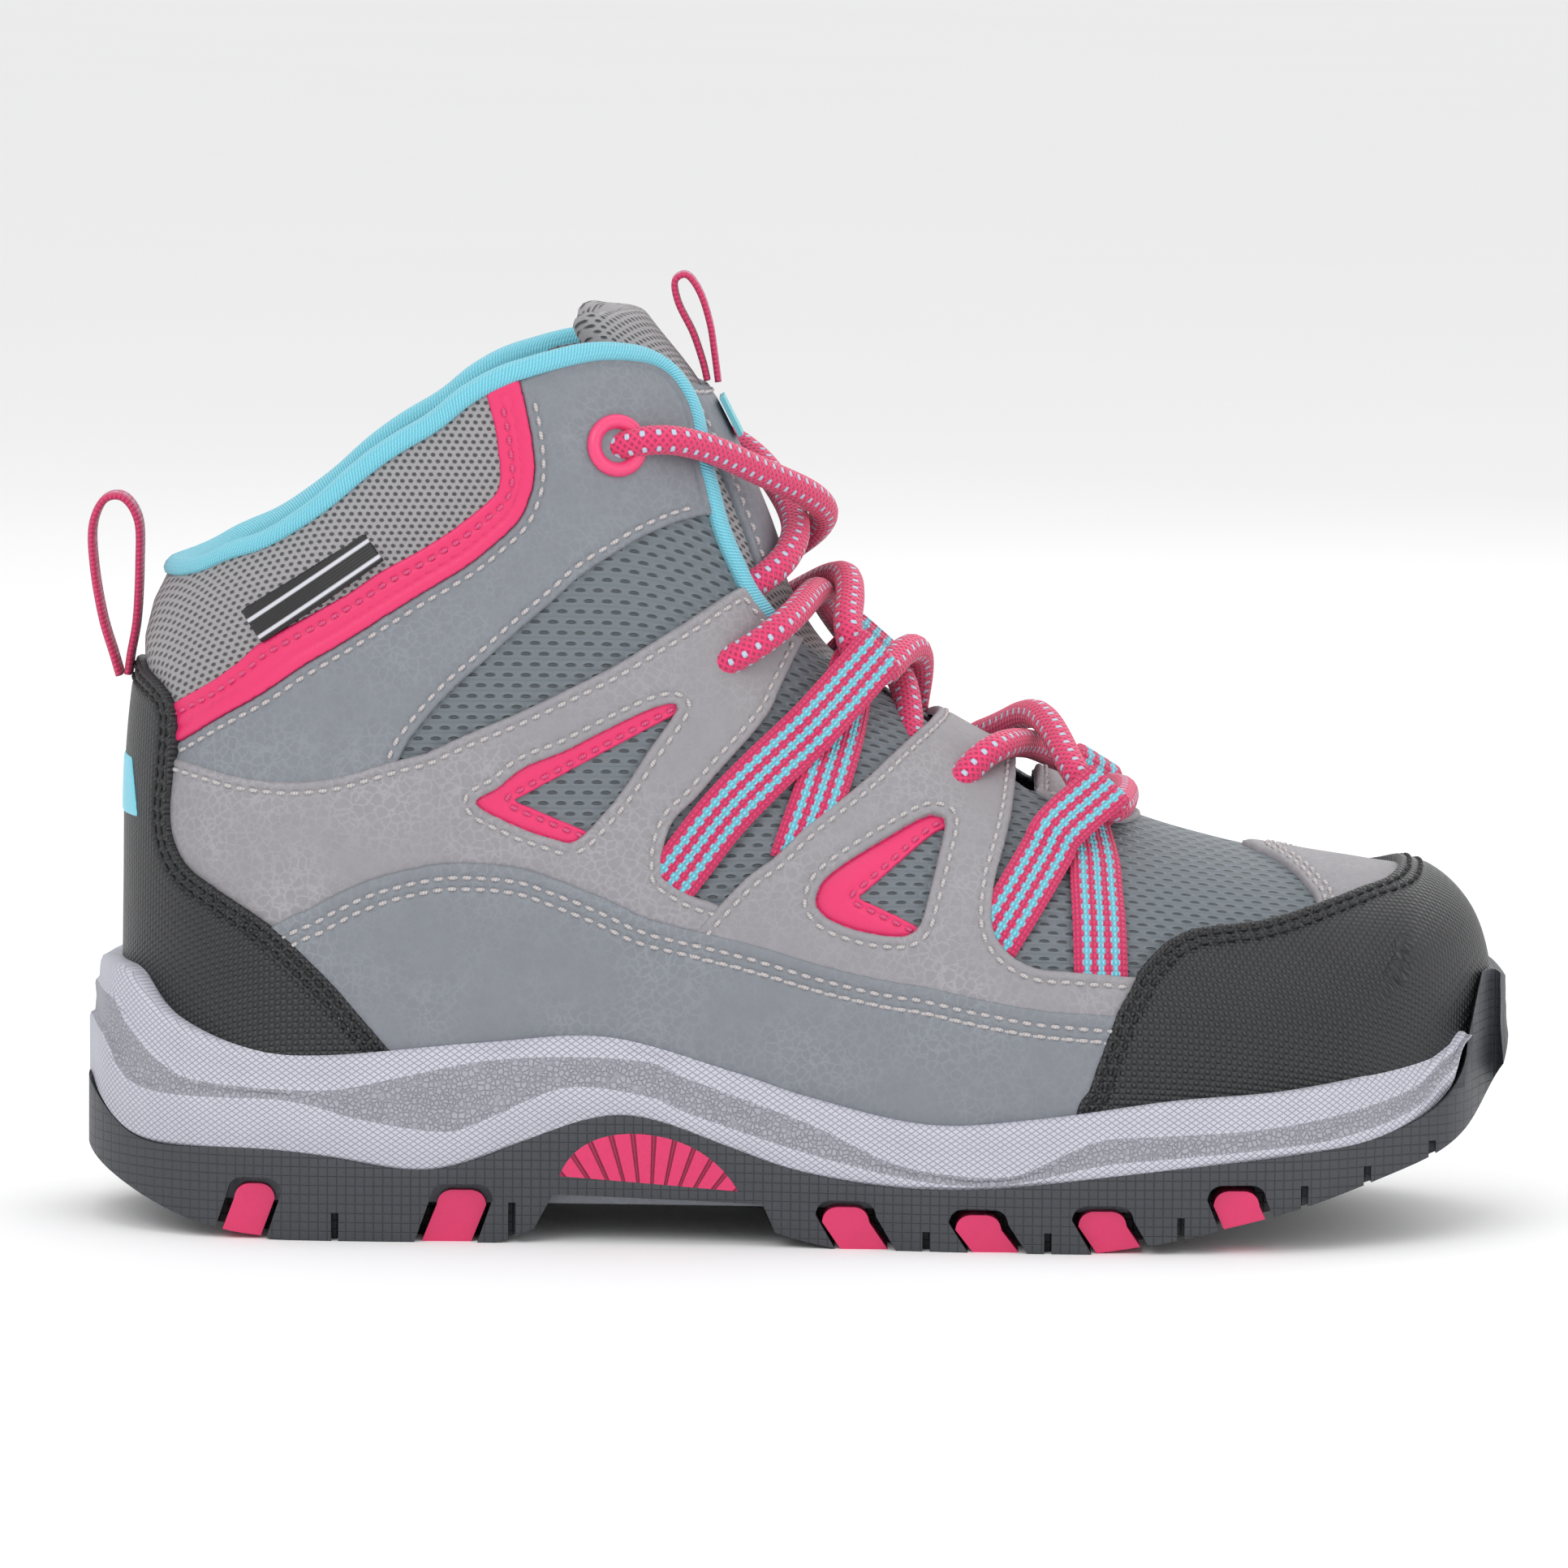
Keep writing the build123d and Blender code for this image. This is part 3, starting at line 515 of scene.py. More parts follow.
def stitch(name, runs, material, pitch=2.3, length=1.75, radius=0.36):
    """Short rounded threads laid end to end along each run, their ends dipping into the seam."""
    points, faces, uv = [], [], []
    for line, normals in runs:
        at, run = resample(line, pitch)
        if at is None:
            continue
        for s in at:
            centre, normal = read_at(s, run, line), read_at(s, run, normals)
            ahead, behind = read_at(s + 0.6, run, line), read_at(s - 0.6, run, line)
            along = (ahead - behind) / max(np.linalg.norm(ahead - behind), 1e-6)
            across_ = np.cross(normal, along)
            across_ /= max(np.linalg.norm(across_), 1e-6)
            first = len(points)
            for r in range(STITCH_RINGS):
                t = r / (STITCH_RINGS - 1) * 2 - 1
                size = radius * math.sqrt(max(0.12, 1 - abs(t)**3))
                lift = radius * 0.72 - 0.42 * abs(t)**3
                middle = centre + along * t * length / 2 + normal * lift
                for q in range(STITCH_SIDES):
                    angle = 2 * math.pi * q / STITCH_SIDES
                    points.append(middle + across_ * size * math.cos(angle)
                                  + normal * size * math.sin(angle))
                    uv.append((s + t * length / 2, q / STITCH_SIDES))
            for r in range(STITCH_RINGS - 1):
                for q in range(STITCH_SIDES):
                    a = first + r * STITCH_SIDES + q
                    b = first + r * STITCH_SIDES + (q + 1) % STITCH_SIDES
                    faces.append([a, b, b + STITCH_SIDES, a + STITCH_SIDES])
            faces.append([first + q for q in reversed(range(STITCH_SIDES))])
            last_ring = first + (STITCH_RINGS - 1) * STITCH_SIDES
            faces.append([last_ring + q for q in range(STITCH_SIDES)])
    if points:
        made_stitches.append(add_mesh(name, points, faces, uv, material))


def sweep(name, line, sections, material):
    """Closed rod with one closed section a place of the line; sections is (places, points, 3)."""
    count, around = sections.shape[:2]
    run = run_along(line)
    girth = run_along(sections[0])
    uv = [(run[i], girth[j]) for i in range(count) for j in range(around)]
    faces = []
    for i in range(count - 1):
        for j in range(around):
            k = (j + 1) % around
            faces.append([i * around + j, i * around + k, (i + 1) * around + k,
                          (i + 1) * around + j])
    faces.append(list(reversed(range(around))))
    faces.append([(count - 1) * around + j for j in range(around)])
    return add_mesh(name, sections.reshape(-1, 3), faces, uv, material)


def strap(name, line, widths_dir, material, width=10.0, thickness=1.5):
    """A flat tape along a line; widths_dir gives its sideways direction at each place."""
    line = np.asarray(line)
    tangent = unit_rows(np.gradient(line, axis=0))
    sideways = unit_rows(widths_dir - np.sum(widths_dir * tangent, 1)[:, None] * tangent)
    face = np.cross(tangent, sideways)
    around = []
    for a in np.linspace(0, 2 * math.pi, 28, endpoint=False):
        c, s = math.cos(a), math.sin(a)
        around.append((math.copysign(abs(c)**0.35, c) * width / 2,
                       math.copysign(abs(s)**0.8, s) * thickness / 2))
    sections = np.stack([line + sideways * a + face * b for a, b in around], 1)
    piece = sweep(name, line, sections, material)
    mesh = piece.data
    run = run_along(line)
    per_vertex = np.array([(run[i], a) for i in range(len(line)) for a, b in around])
    corner = np.zeros(len(mesh.loops), dtype=np.int32)
    mesh.loops.foreach_get("vertex_index", corner)
    mesh.uv_layers["mm"].data.foreach_set("uv", per_vertex[corner].astype(np.float32).ravel())
    return piece


# ---- materials ---------------------------------------------------------------------------
def new_material(name, roughness, sheen=0.0):
    m = bpy.data.materials.new(name)
    m.use_nodes = True
    shader = m.node_tree.nodes["Principled BSDF"]
    shader.inputs["Roughness"].default_value = roughness
    shader.inputs["Sheen Weight"].default_value = sheen
    return m


class Nodes:
    """Small helper that adds and links shader nodes."""

    def __init__(self, material):
        self.tree = material.node_tree
        self.shader = self.tree.nodes["Principled BSDF"]

    def add(self, kind, inputs=(), **settings):
        node = self.tree.nodes.new(kind)
        for key, value in settings.items():
            setattr(node, key, value)
        for socket, value in dict(inputs).items():
            if hasattr(value, "is_output") or isinstance(value, bpy.types.NodeSocket):
                self.tree.links.new(value, node.inputs[socket])
            else:
                node.inputs[socket].default_value = value
        return node

    def link(self, output, socket):
        self.tree.links.new(output, self.shader.inputs[socket])

    def coordinates(self, kind, scale):
        """Object or UV coordinates in units of 1/scale; both are in millimetres here."""
        if kind == "UV":
            source = self.add("ShaderNodeUVMap", uv_map="mm").outputs[0]
            factor = scale
        else:
            source = self.add("ShaderNodeTexCoord").outputs["Object"]
            factor = scale / MM
        return self.add("ShaderNodeVectorMath", {0: source, 1: (factor,) * 3},
                        operation="MULTIPLY").outputs[0]

    def math(self, operation, a, b=0.0, clamp=False):
        return self.add("ShaderNodeMath", {0: a, 1: b}, operation=operation,
                        use_clamp=clamp).outputs[0]

    def plus(self, a, b, clamp=False):
        return self.math("ADD", a, b, clamp=clamp)

    def minus(self, a, b, clamp=False):
        return self.math("SUBTRACT", a, b, clamp=clamp)

    def times(self, a, b):
        return self.math("MULTIPLY", a, b)

    def wave(self, value, turn):
        """Height of a row of round ribs; turn is pi over their pitch."""
        return self.math("ABSOLUTE", self.math("SINE", self.math("MULTIPLY", value, turn)))

    def tint(self, tone, colour, dark, light):
        """Base colour that goes from a darker to a lighter shade of one colour."""
        self.link(self.mix(tone, shade(colour, dark), shade(colour, light)), "Base Color")

    def separate(self, vector):
        return self.add("ShaderNodeSeparateXYZ", {0: vector}).outputs

    def noise(self, vector, scale=1.0, detail=3.0, roughness=0.55):
        node = self.add("ShaderNodeTexNoise", {"Vector": vector, "Scale": scale, "Detail": detail,
                                               "Roughness": roughness})
        return node.outputs[0]

    def voronoi(self, vector, scale):
        """Distance to the nearest edge between cells."""
        node = self.add("ShaderNodeTexVoronoi",
                        {"Vector": vector, "Scale": scale, "Randomness": 1.0},
                        feature="DISTANCE_TO_EDGE")
        return node.outputs["Distance"]

    def ramp(self, value, stops):
        node = self.add("ShaderNodeValToRGB", {0: value})
        elements = node.color_ramp.elements
        while len(elements) < len(stops):
            elements.new(0.5)
        for element, (position, colour) in zip(elements, stops):
            element.position = position
            element.color = (*colour, 1) if len(colour) == 3 else colour
        return node.outputs[0]

    def mix(self, factor, a, b):
        node = self.add("ShaderNodeMix", data_type="RGBA", blend_type="MIX")
        for socket, value in ((0, factor), (6, a), (7, b)):
            if isinstance(value, bpy.types.NodeSocket):
                self.tree.links.new(value, node.inputs[socket])
            elif socket == 0:
                node.inputs[0].default_value = value
            else:
                node.inputs[socket].default_value = (*value, 1)
        return node.outputs[2]

    def bump(self, height, distance, strength=1.0, after=None):
        inputs = {"Height": height, "Distance": distance * MM, "Strength": strength}
        if after is not None:
            inputs["Normal"] = after
        return self.add("ShaderNodeBump", inputs).outputs[0]


def srgb(r, g, b):
    """Linear colour from 0-255 display values."""
    return tuple((c / 255 / 12.92) if c <= 10 else ((c / 255 + 0.055) / 1.055)**2.4
                 for c in (r, g, b))


def shade(colour, times, plus=0.0):
    return tuple(min(1, c * times + plus) for c in colour)


def rise(low, high):
    """Stops of a ramp from black to white."""
    return [(low, (0, 0, 0)), (high, (1, 1, 1))]


PINK, SKY = srgb(222, 44, 104), srgb(120, 208, 228)


def nubuck(name, colour, crackle=0.5):
    """Oiled nubuck with a fine crackle."""
    m = new_material(name, roughness=0.62)
    n = Nodes(m)
    uv = n.coordinates("Object", 1.0)
    wander = n.noise(uv, 0.35, 2)
    bent = n.add("ShaderNodeVectorMath", {0: uv, 1: n.add("ShaderNodeVectorMath", {
        0: n.add("ShaderNodeTexNoise", {"Vector": uv, "Scale": 1.1}).outputs[1],
        1: (1.1, 1.1, 1.1)},
        operation="MULTIPLY").outputs[0]}, operation="ADD").outputs[0]
    cells = n.voronoi(bent, 0.62)
    crack = n.ramp(cells, [(0.0, (1, 1, 1)), (0.07, (0.4, 0.4, 0.4)), (0.15, (0, 0, 0))])
    patchy = n.ramp(n.noise(uv, 0.055, 3), [(0.36, (0.1, 0.1, 0.1)), (0.66, (1, 1, 1))])
    crack = n.times(n.times(crack, patchy), crackle)
    grain = n.noise(uv, 5.0, 4, 0.7)
    light = shade(colour, 1.5, 0.02)
    dark = shade(colour, 0.86)
    base = n.mix(n.times(wander, 0.8), dark, shade(colour, 1.09))
    base = n.mix(n.times(n.minus(grain, 0.35), 0.5), base, light)
    n.link(n.mix(crack, base, light), "Base Color")
    n.link(n.plus(n.times(grain, 0.2), 0.5), "Roughness")
    rough = n.bump(n.plus(n.times(grain, 0.5), n.times(crack, -0.4)), 0.16, 0.5)
    n.link(rough, "Normal")
    return m


def brick_cell(n, uv, wide, tall, slant=0.0):
    """Offset rows: position inside each cell from -0.5 to 0.5 both ways."""
    axes = n.separate(uv)
    v = n.math("DIVIDE", axes[1], tall)
    row = n.math("FLOOR", v)
    shift = n.times(n.math("FLOORED_MODULO", row, 2.0), 0.5)
    u = n.plus(n.math("DIVIDE", n.plus(axes[0], n.times(axes[1], slant)), wide), shift)
    return n.minus(n.math("FRACT", u), 0.5), n.minus(n.math("FRACT", v), 0.5)


def oval(n, a, b, half_a, half_b):
    """1 at the middle of an oval and 0 at its rim."""
    da, db = n.math("DIVIDE", a, half_a), n.math("DIVIDE", b, half_b)
    r = n.math("SQRT", n.plus(n.times(da, da), n.times(db, db)))
    return n.minus(1.0, r, clamp=True)


def slit_textile(name, colour):
    """Synthetic textile embossed with rows of small scales, with painted highlight on the scale
    tops and painted shade in the slits.
    """
    m = new_material(name, roughness=0.55)
    n = Nodes(m)
    uv = n.coordinates("UV", 1.0)
    a, b = brick_cell(n, uv, 2.9, 1.75)
    slit = n.ramp(oval(n, a, n.minus(b, n.times(n.times(a, a), -0.5)), 0.36, 0.2),
                  rise(0.0, 0.45))
    hump = oval(n, a, n.plus(b, 0.15), 0.62, 0.62)
    weave = n.noise(uv, 4.5, 3, 0.7)
    base = n.mix(n.times(weave, 0.6), shade(colour, 0.85), shade(colour, 1.25))
    # painted highlight: the raised tops of the scales are coloured lighter
    base = n.mix(n.times(hump, 0.35), base, shade(colour, 1.5))
    # painted shade: the slits are coloured almost black for the shade in them
    n.link(n.mix(n.times(slit, 0.82), base, shade(colour, 0.2)), "Base Color")
    height = n.minus(n.times(hump, 1.2), n.times(slit, 1.0))
    n.link(n.bump(height, 0.35, 0.9, n.bump(weave, 0.08, 0.4)), "Normal")
    return m


def knit_mesh(name, light, dark, wide=1.35, tall=1.05, coords="UV", swap=None):
    """Open air mesh: small loops round holes, which are painted dark as shade."""
    m = new_material(name, roughness=0.75, sheen=0.15)
    n = Nodes(m)
    place = n.coordinates(coords, 1.0)
    if swap:
        axes = n.separate(place)
        place = n.add("ShaderNodeCombineXYZ", {0: axes[swap[0]], 1: axes[swap[1]]}).outputs[0]
    a, b = brick_cell(n, place, wide, tall, 0.12)
    hole = n.ramp(oval(n, a, b, 0.34, 0.36), rise(0.05, 0.5))
    yarn = n.noise(place, 3.2, 4, 0.75)
    base = n.mix(yarn, shade(light, 0.7), shade(light, 1.35))
    # painted shade: the holes take the dark colour for the shade seen in them
    n.link(n.mix(n.times(hole, 0.9), base, dark), "Base Color")
    height = n.plus(n.times(hole, -1.0), n.times(yarn, 0.35))
    n.link(n.bump(height, 0.4, 0.9), "Normal")
    return m


def plain_weave(name, colour, pitch, depth_mm, roughness, coords="UV", crown_shading=0.5, swap=None,
                dark=0.6):
    """Over-and-under weave of round yarns, with painted highlight on the yarn crowns and painted
    shade between them.
    """
    m = new_material(name, roughness=roughness)
    n = Nodes(m)
    place = n.coordinates(coords, 1.0 / pitch)
    axes = n.separate(place)
    u, v = (axes[swap[0]], axes[swap[1]]) if swap else (axes[0], axes[1])
    su = n.math("SINE", n.times(u, math.pi))
    sv = n.math("SINE", n.times(v, math.pi))
    over = n.times(su, sv)
    height = n.plus(n.times(n.math("ABSOLUTE", over), 0.7), n.times(over, 0.3))
    wear = n.noise(n.coordinates(coords, 0.12), 1.0, 4)
    # painted light: the yarn crowns are coloured lighter and the dips between them darker; the wear
    # noise is real tone
    tone = n.plus(n.times(height, crown_shading), n.times(wear, 0.3), clamp=True)
    n.link(n.mix(tone, shade(colour, dark), shade(colour, 1.7, 0.008)), "Base Color")
    n.link(n.bump(height, depth_mm, 0.9), "Normal")
    return m


def tape(name, colour):
    """Narrow woven tape with fine ribs across it."""
    m = new_material(name, roughness=0.6, sheen=0.2)
    n = Nodes(m)
    uv = n.coordinates("UV", 1.0)
    axes = n.separate(uv)
    rib = 0.55
    slant = n.plus(axes[0], n.times(axes[1], 0.5))
    ribs = n.wave(slant, math.pi / rib)
    cross = n.wave(axes[1], math.pi / (rib * 1.3))
    height = n.times(ribs, n.plus(0.5, n.times(cross, 0.5)))
    fuzz = n.noise(uv, 3.0, 3)
    # painted light: the rib crowns are coloured lighter and the dips between ribs darker
    tone = n.plus(n.times(height, 0.6), n.times(fuzz, 0.4), clamp=True)
    n.tint(tone, colour, 0.62, 1.12)
    n.link(n.bump(height, 0.2, 0.8), "Normal")
    return m


def smooth_tape(name, colour):
    """Pink synthetic leather with a fine grain."""
    m = new_material(name, roughness=0.45)
    n = Nodes(m)
    uv = n.coordinates("UV", 1.0)
    grain = n.noise(uv, 3.2, 5, 0.7)
    cells = n.voronoi(uv, 1.6)
    n.tint(grain, colour, 0.86, 1.1)
    n.link(n.bump(n.plus(n.times(grain, 0.4), cells), 0.1, 0.35), "Normal")
    return m


def band(n, value, low, high, soft=0.08):
    """1 where low < value < high."""
    up = n.add("ShaderNodeMapRange", {0: value, 1: low - soft, 2: low + soft},
               clamp=True).outputs[0]
    down = n.add("ShaderNodeMapRange", {0: value, 1: high - soft, 2: high + soft, 3: 1.0, 4: 0.0},
                 clamp=True).outputs[0]
    return n.times(up, down)


def webbing(name, ground, stripe, stripes=(-2.3, 0.0, 2.3), half=0.42, pitch=1.9):
    """Flat braided webbing: u runs along it and v across it, both in millimetres."""
    m = new_material(name, roughness=0.62, sheen=0.2)
    n = Nodes(m)
    axes = n.separate(n.coordinates("UV", 1.0))
    along, over = axes[0], axes[1]
    dash = n.math("SINE", n.times(along, 2 * math.pi / pitch))
    total = 0.0
    for middle in stripes:
        stripe_on = band(n, over, middle - half, middle + half, 0.12)
        near = band(n, over, middle - half - 0.3, middle + half + 0.3, 0.1)
        dashed = n.times(near, n.math("GREATER_THAN", dash, 0.1))
        total = n.math("MAXIMUM", total, n.math("MAXIMUM", stripe_on, dashed))
    yarn_a = n.wave(along, math.pi / (pitch / 2))
    yarn_b = n.wave(over, math.pi / 0.68)
    height = n.times(n.plus(yarn_a, 0.3), n.plus(yarn_b, 0.3))
    fuzz = n.noise(n.coordinates("UV", 2.5), 1.0, 3)
    # painted light: the yarn crowns are coloured lighter and the dips between yarns darker
    tone = n.plus(n.times(height, 0.45), n.times(fuzz, 0.4), clamp=True)
    pink = n.mix(tone, shade(ground, 0.55), shade(ground, 1.15))
    blue = n.mix(tone, shade(stripe, 0.65), shade(stripe, 1.15))
    n.link(n.mix(total, pink, blue), "Base Color")
    n.link(n.bump(height, 0.3, 0.9), "Normal")
    return m


def braid(name, ground, fleck):
    """Round braided lace; u runs along it in millimetres and v goes round it from 0 to 1."""
    m = new_material(name, roughness=0.6, sheen=0.25)
    n = Nodes(m)
    axes = n.separate(n.coordinates("UV", 1.0))
    pitch, turns = 2.1, 10.0
    s, a = n.math("DIVIDE", axes[0], pitch), n.times(axes[1], turns)
    left = n.wave(n.plus(n.times(s, 2.0), a), math.pi)
    right = n.wave(n.minus(n.times(s, 2.0), a), math.pi)
    height = n.math("MAXIMUM", n.times(left, n.math("GREATER_THAN", left, right)), right)
    shift = n.times(n.math("FLOORED_MODULO", n.math("FLOOR", a), 2.0), 0.5)
    cu = n.minus(n.math("FRACT", n.plus(s, shift)), 0.5)
    cv = n.minus(n.math("FRACT", a), 0.5)
    chosen = n.math("LESS_THAN", n.math("FLOORED_MODULO", n.math("FLOOR", a), 2.0), 0.5)
    dot = n.times(n.ramp(oval(n, cu, cv, 0.2, 0.5), rise(0.1, 0.25)), chosen)
    fuzz = n.times(n.noise(n.coordinates("UV", 2.0), 1.0, 3), 0.3)
    # painted light: the strand crowns are coloured lighter and the gaps between strands darker
    tone = n.plus(n.times(height, 0.6), fuzz, clamp=True)
    pink = n.mix(tone, shade(ground, 0.5), shade(ground, 1.2))
    n.link(n.mix(n.times(dot, 0.92), pink, fleck), "Base Color")
    n.link(n.bump(height, 0.4, 1.0), "Normal")
    return m


def thread(name, colour):
    """Twisted sewing thread."""
    m = new_material(name, roughness=0.6)
    n = Nodes(m)
    axes = n.separate(n.coordinates("UV", 1.0))
    twist = n.math("SINE", n.plus(n.times(axes[0], 12.0), n.times(axes[1], 2 * math.pi)))
    # painted light: the ridges of the twist are coloured lighter and its grooves darker
    tone = n.plus(n.times(twist, 0.35), 0.5, clamp=True)
    n.link(n.mix(tone, shade(colour, 0.6), colour), "Base Color")
    n.link(n.bump(twist, 0.08, 0.6), "Normal")
    return m


def foam_rubber(name, colour, pattern):
    """Moulded midsole foam: cross-hatched or pebbled."""
    m = new_material(name, roughness=0.55)
    n = Nodes(m)
    uv = n.coordinates("UV", 1.0)
    axes = n.separate(uv)
    if pattern == "hatch":
        slope, turn = n.times(axes[1], 1.5), math.pi / 1.45
        height = n.math("MINIMUM", n.wave(n.plus(axes[0], slope), turn),
                        n.wave(n.minus(axes[0], slope), turn))
        height = n.ramp(height, rise(0.0, 0.35))
        amount = 0.22
    else:
        height = n.ramp(n.voronoi(uv, 1.25), rise(0.0, 0.16))
        amount = 0.25
    cloud = n.noise(uv, 0.12, 4)
    # painted shade: the grooves of the hatch and the seams between pebbles are coloured darker; the
    # cloud noise is real tone
    tone = n.plus(n.times(height, 0.45), n.times(cloud, 0.5), clamp=True)
    n.tint(tone, colour, 0.8, 1.07)
    n.link(n.bump(height, amount, 0.8), "Normal")
    return m


def grid_rubber(name, colour):
    """Rubber moulded with a fine square grid on its sides; object coordinates."""
    m = new_material(name, roughness=0.55)
    n = Nodes(m)
    axes = n.separate(n.coordinates("Object", 1.0))
    lines = [n.wave(axis, math.pi / 1.5) for axis in (axes[0], axes[2])]
    height = n.ramp(n.math("MINIMUM", *lines), rise(0.0, 0.25))
    scuff = n.noise(n.coordinates("Object", 0.5), 1.0, 5, 0.65)
    # painted shade: the grid grooves are coloured darker; the scuff noise is wear
    tone = n.plus(n.times(height, 0.35), n.times(scuff, 0.6), clamp=True)
    n.tint(tone, colour, 0.72, 1.35)
    n.link(n.plus(n.times(scuff, 0.25), 0.4), "Roughness")
    n.link(n.bump(height, 0.2, 0.7), "Normal")
    return m


def soft_rubber(name, colour, roughness=0.45):
    """Plain moulded rubber with fine speckle."""
    m = new_material(name, roughness=roughness)
    n = Nodes(m)
    place = n.coordinates("Object", 1.0)
    speck = n.noise(place, 2.2, 5, 0.7)
    cloud = n.noise(place, 0.15, 3)
    tone = n.plus(n.times(speck, 0.4), n.times(cloud, 0.6), clamp=True)
    n.tint(tone, colour, 0.75, 1.12)
    n.link(n.bump(speck, 0.12, 0.5), "Normal")
    return m


def lined_satin(name, colour, line, slope, places):
    """Dark satin ribbon with plain light lines along it; object coordinates in millimetres."""
    m = new_material(name, roughness=0.4)
    n = Nodes(m)
    axes = n.separate(n.coordinates("Object", 1.0))
    over = n.plus(n.times(axes[0], -math.sin(slope)), n.times(axes[2], math.cos(slope)))
    lines = n.math("MAXIMUM", *[band(n, over, place - 0.3, place + 0.3, 0.1) for place in places])
    rib = n.math("SINE", n.times(over, 2 * math.pi / 0.45))
    cloud = n.times(n.noise(n.coordinates("Object", 0.8), 1.0, 3), 0.6)
    # painted highlight: the fine ribs are coloured lighter on their crowns; the cloud noise is real
    # tone
    tone = n.plus(n.times(rib, 0.25), cloud, clamp=True)
    ground = n.mix(tone, shade(colour, 0.6), shade(colour, 1.5))
    n.link(n.mix(lines, ground, line), "Base Color")
    n.link(n.bump(rib, 0.08, 0.6), "Normal")
    return m


def ribbed_rubber(name, colour, centre):
    """Rubber with ribs that fan out from a centre below the arch; object coordinates."""
    m = new_material(name, roughness=0.45)
    n = Nodes(m)
    axes = n.separate(n.coordinates("Object", 1.0))
    angle = n.math("ARCTAN2", n.minus(axes[2], centre[1]), n.minus(axes[0], centre[0]))
    wave = n.math("SINE", n.times(angle, 360.0 / 9.0))
    rib = n.ramp(n.plus(n.times(wave, 0.5), 0.5), rise(0.0, 0.16))
    speck = n.noise(n.coordinates("Object", 2.2), 1.0, 4)
    # painted shade: the grooves between the ribs are coloured much darker
    tone = n.plus(n.times(rib, 0.6), n.times(speck, 0.4), clamp=True)
    n.tint(tone, colour, 0.35, 1.12)
    n.link(n.bump(rib, 0.8, 1.0), "Normal")
    return m


WARM_GREY, COOL_GREY = srgb(141, 139, 143), srgb(121, 125, 132)
mat_mid = nubuck("nubuck_warm_grey", WARM_GREY)
mat_cool = nubuck("nubuck_cool_grey", COOL_GREY, crackle=0.42)
mat_textile = slit_textile("embossed_textile", srgb(104, 112, 118))
mat_mesh = knit_mesh("air_mesh", srgb(150, 148, 150), srgb(48, 48, 52))
mat_lining = knit_mesh("lining_mesh", srgb(92, 92, 96), srgb(30, 30, 33), 1.1, 0.9)
mat_caps = plain_weave("ballistic_weave", srgb(37, 38, 41), 0.95, 0.5, 0.4, crown_shading=1.1,
                       dark=0.22)
mat_pink_leather = smooth_tape("pink_leather", PINK)
mat_binding = tape("sky_blue_binding", SKY)
mat_webbing = webbing("striped_webbing", PINK, SKY)
mat_pull = webbing("pull_loop_webbing", PINK, srgb(205, 196, 216), stripes=(-1.6, 1.6), half=0.35,
                   pitch=1.5)
mat_lace = braid("braided_lace", PINK, srgb(178, 206, 226))
mat_aglet = soft_rubber("aglet_plastic", srgb(206, 60, 112), 0.25)
mat_thread = thread("pale_thread", srgb(206, 200, 200))
mat_thread_pink = thread("pink_thread", srgb(232, 84, 136))
mat_thread_black = thread("black_thread", srgb(36, 36, 38))
mat_eyelet = soft_rubber("pink_eyelet", srgb(232, 66, 118), 0.22)
mat_foam = foam_rubber("midsole_hatched", srgb(190, 190, 202), "hatch")
mat_foam_dark = foam_rubber("midsole_pebbled", srgb(160, 160, 170), "pebble")
mat_outsole = grid_rubber("outsole_rubber", srgb(54, 56, 61))
mat_lug = soft_rubber("pink_rubber", srgb(214, 46, 100))
mat_arch = ribbed_rubber("ribbed_pink_rubber", srgb(214, 46, 100), (-24.5, -4))
mat_board = plain_weave("board_fibre", srgb(150, 132, 104), 0.6, 0.1, 0.8, "Object")
mat_label = lined_satin("label_satin", srgb(30, 30, 32), srgb(206, 206, 214), math.radians(34.7),
                        (130.3, 133.4))
mat_badge = plain_weave("badge_weave", SKY, 0.5, 0.1, 0.5, "Object", swap=(1, 2))
mat_accent = soft_rubber("sky_blue_print", SKY, 0.4)
mat_footbed = knit_mesh("footbed_knit", srgb(84, 86, 92), srgb(34, 34, 38), 1.3, 1.1, "Object",
                        (0, 1))


# ---- outlines of the panels, in the side view --------------------------------------------
REAR_EDGE = [(-104, 106), (-98.1, 107.4), (-92.8, 110.1), (-86.3, 112.7), (-78.4, 118.1),
             (-70.6, 124.8),
             (-65.4, 128.5), (-59.5, 132), (-54.9, 135.9), (-49.6, 139), (-44.4, 140.9),
             (-39.2, 142.6),
             (-33.9, 143.4), (-27.3, 142.6), (-23.4, 140.8), (-20.7, 137.9), (-18.7, 134.2),
             (-17.7, 130.2),
             (-17.2, 126.3), (-16, 122.3), (-14.6, 117), (-13.3, 113.1), (-11.5, 109.1),
             (-9.3, 104.5),
             (-6.6, 100.8), (-4.6, 98.8)]
THROAT_EDGE = [(4.6, 93), (15, 86), (28, 77.8), (38, 71.5)]
collar_edge = [(-125, 105.4), (-114, 105.6)] + REAR_EDGE + THROAT_EDGE
below_collar = outline(collar_edge, [(39, 95), (150, 95)], [(150, -20), (-150, -20), (-150, 105)])
upper_shape = outline(collar_edge, [(39, 95), (150, 95)], [(x, z - 2) for x, z in FLOOR[::-1]])
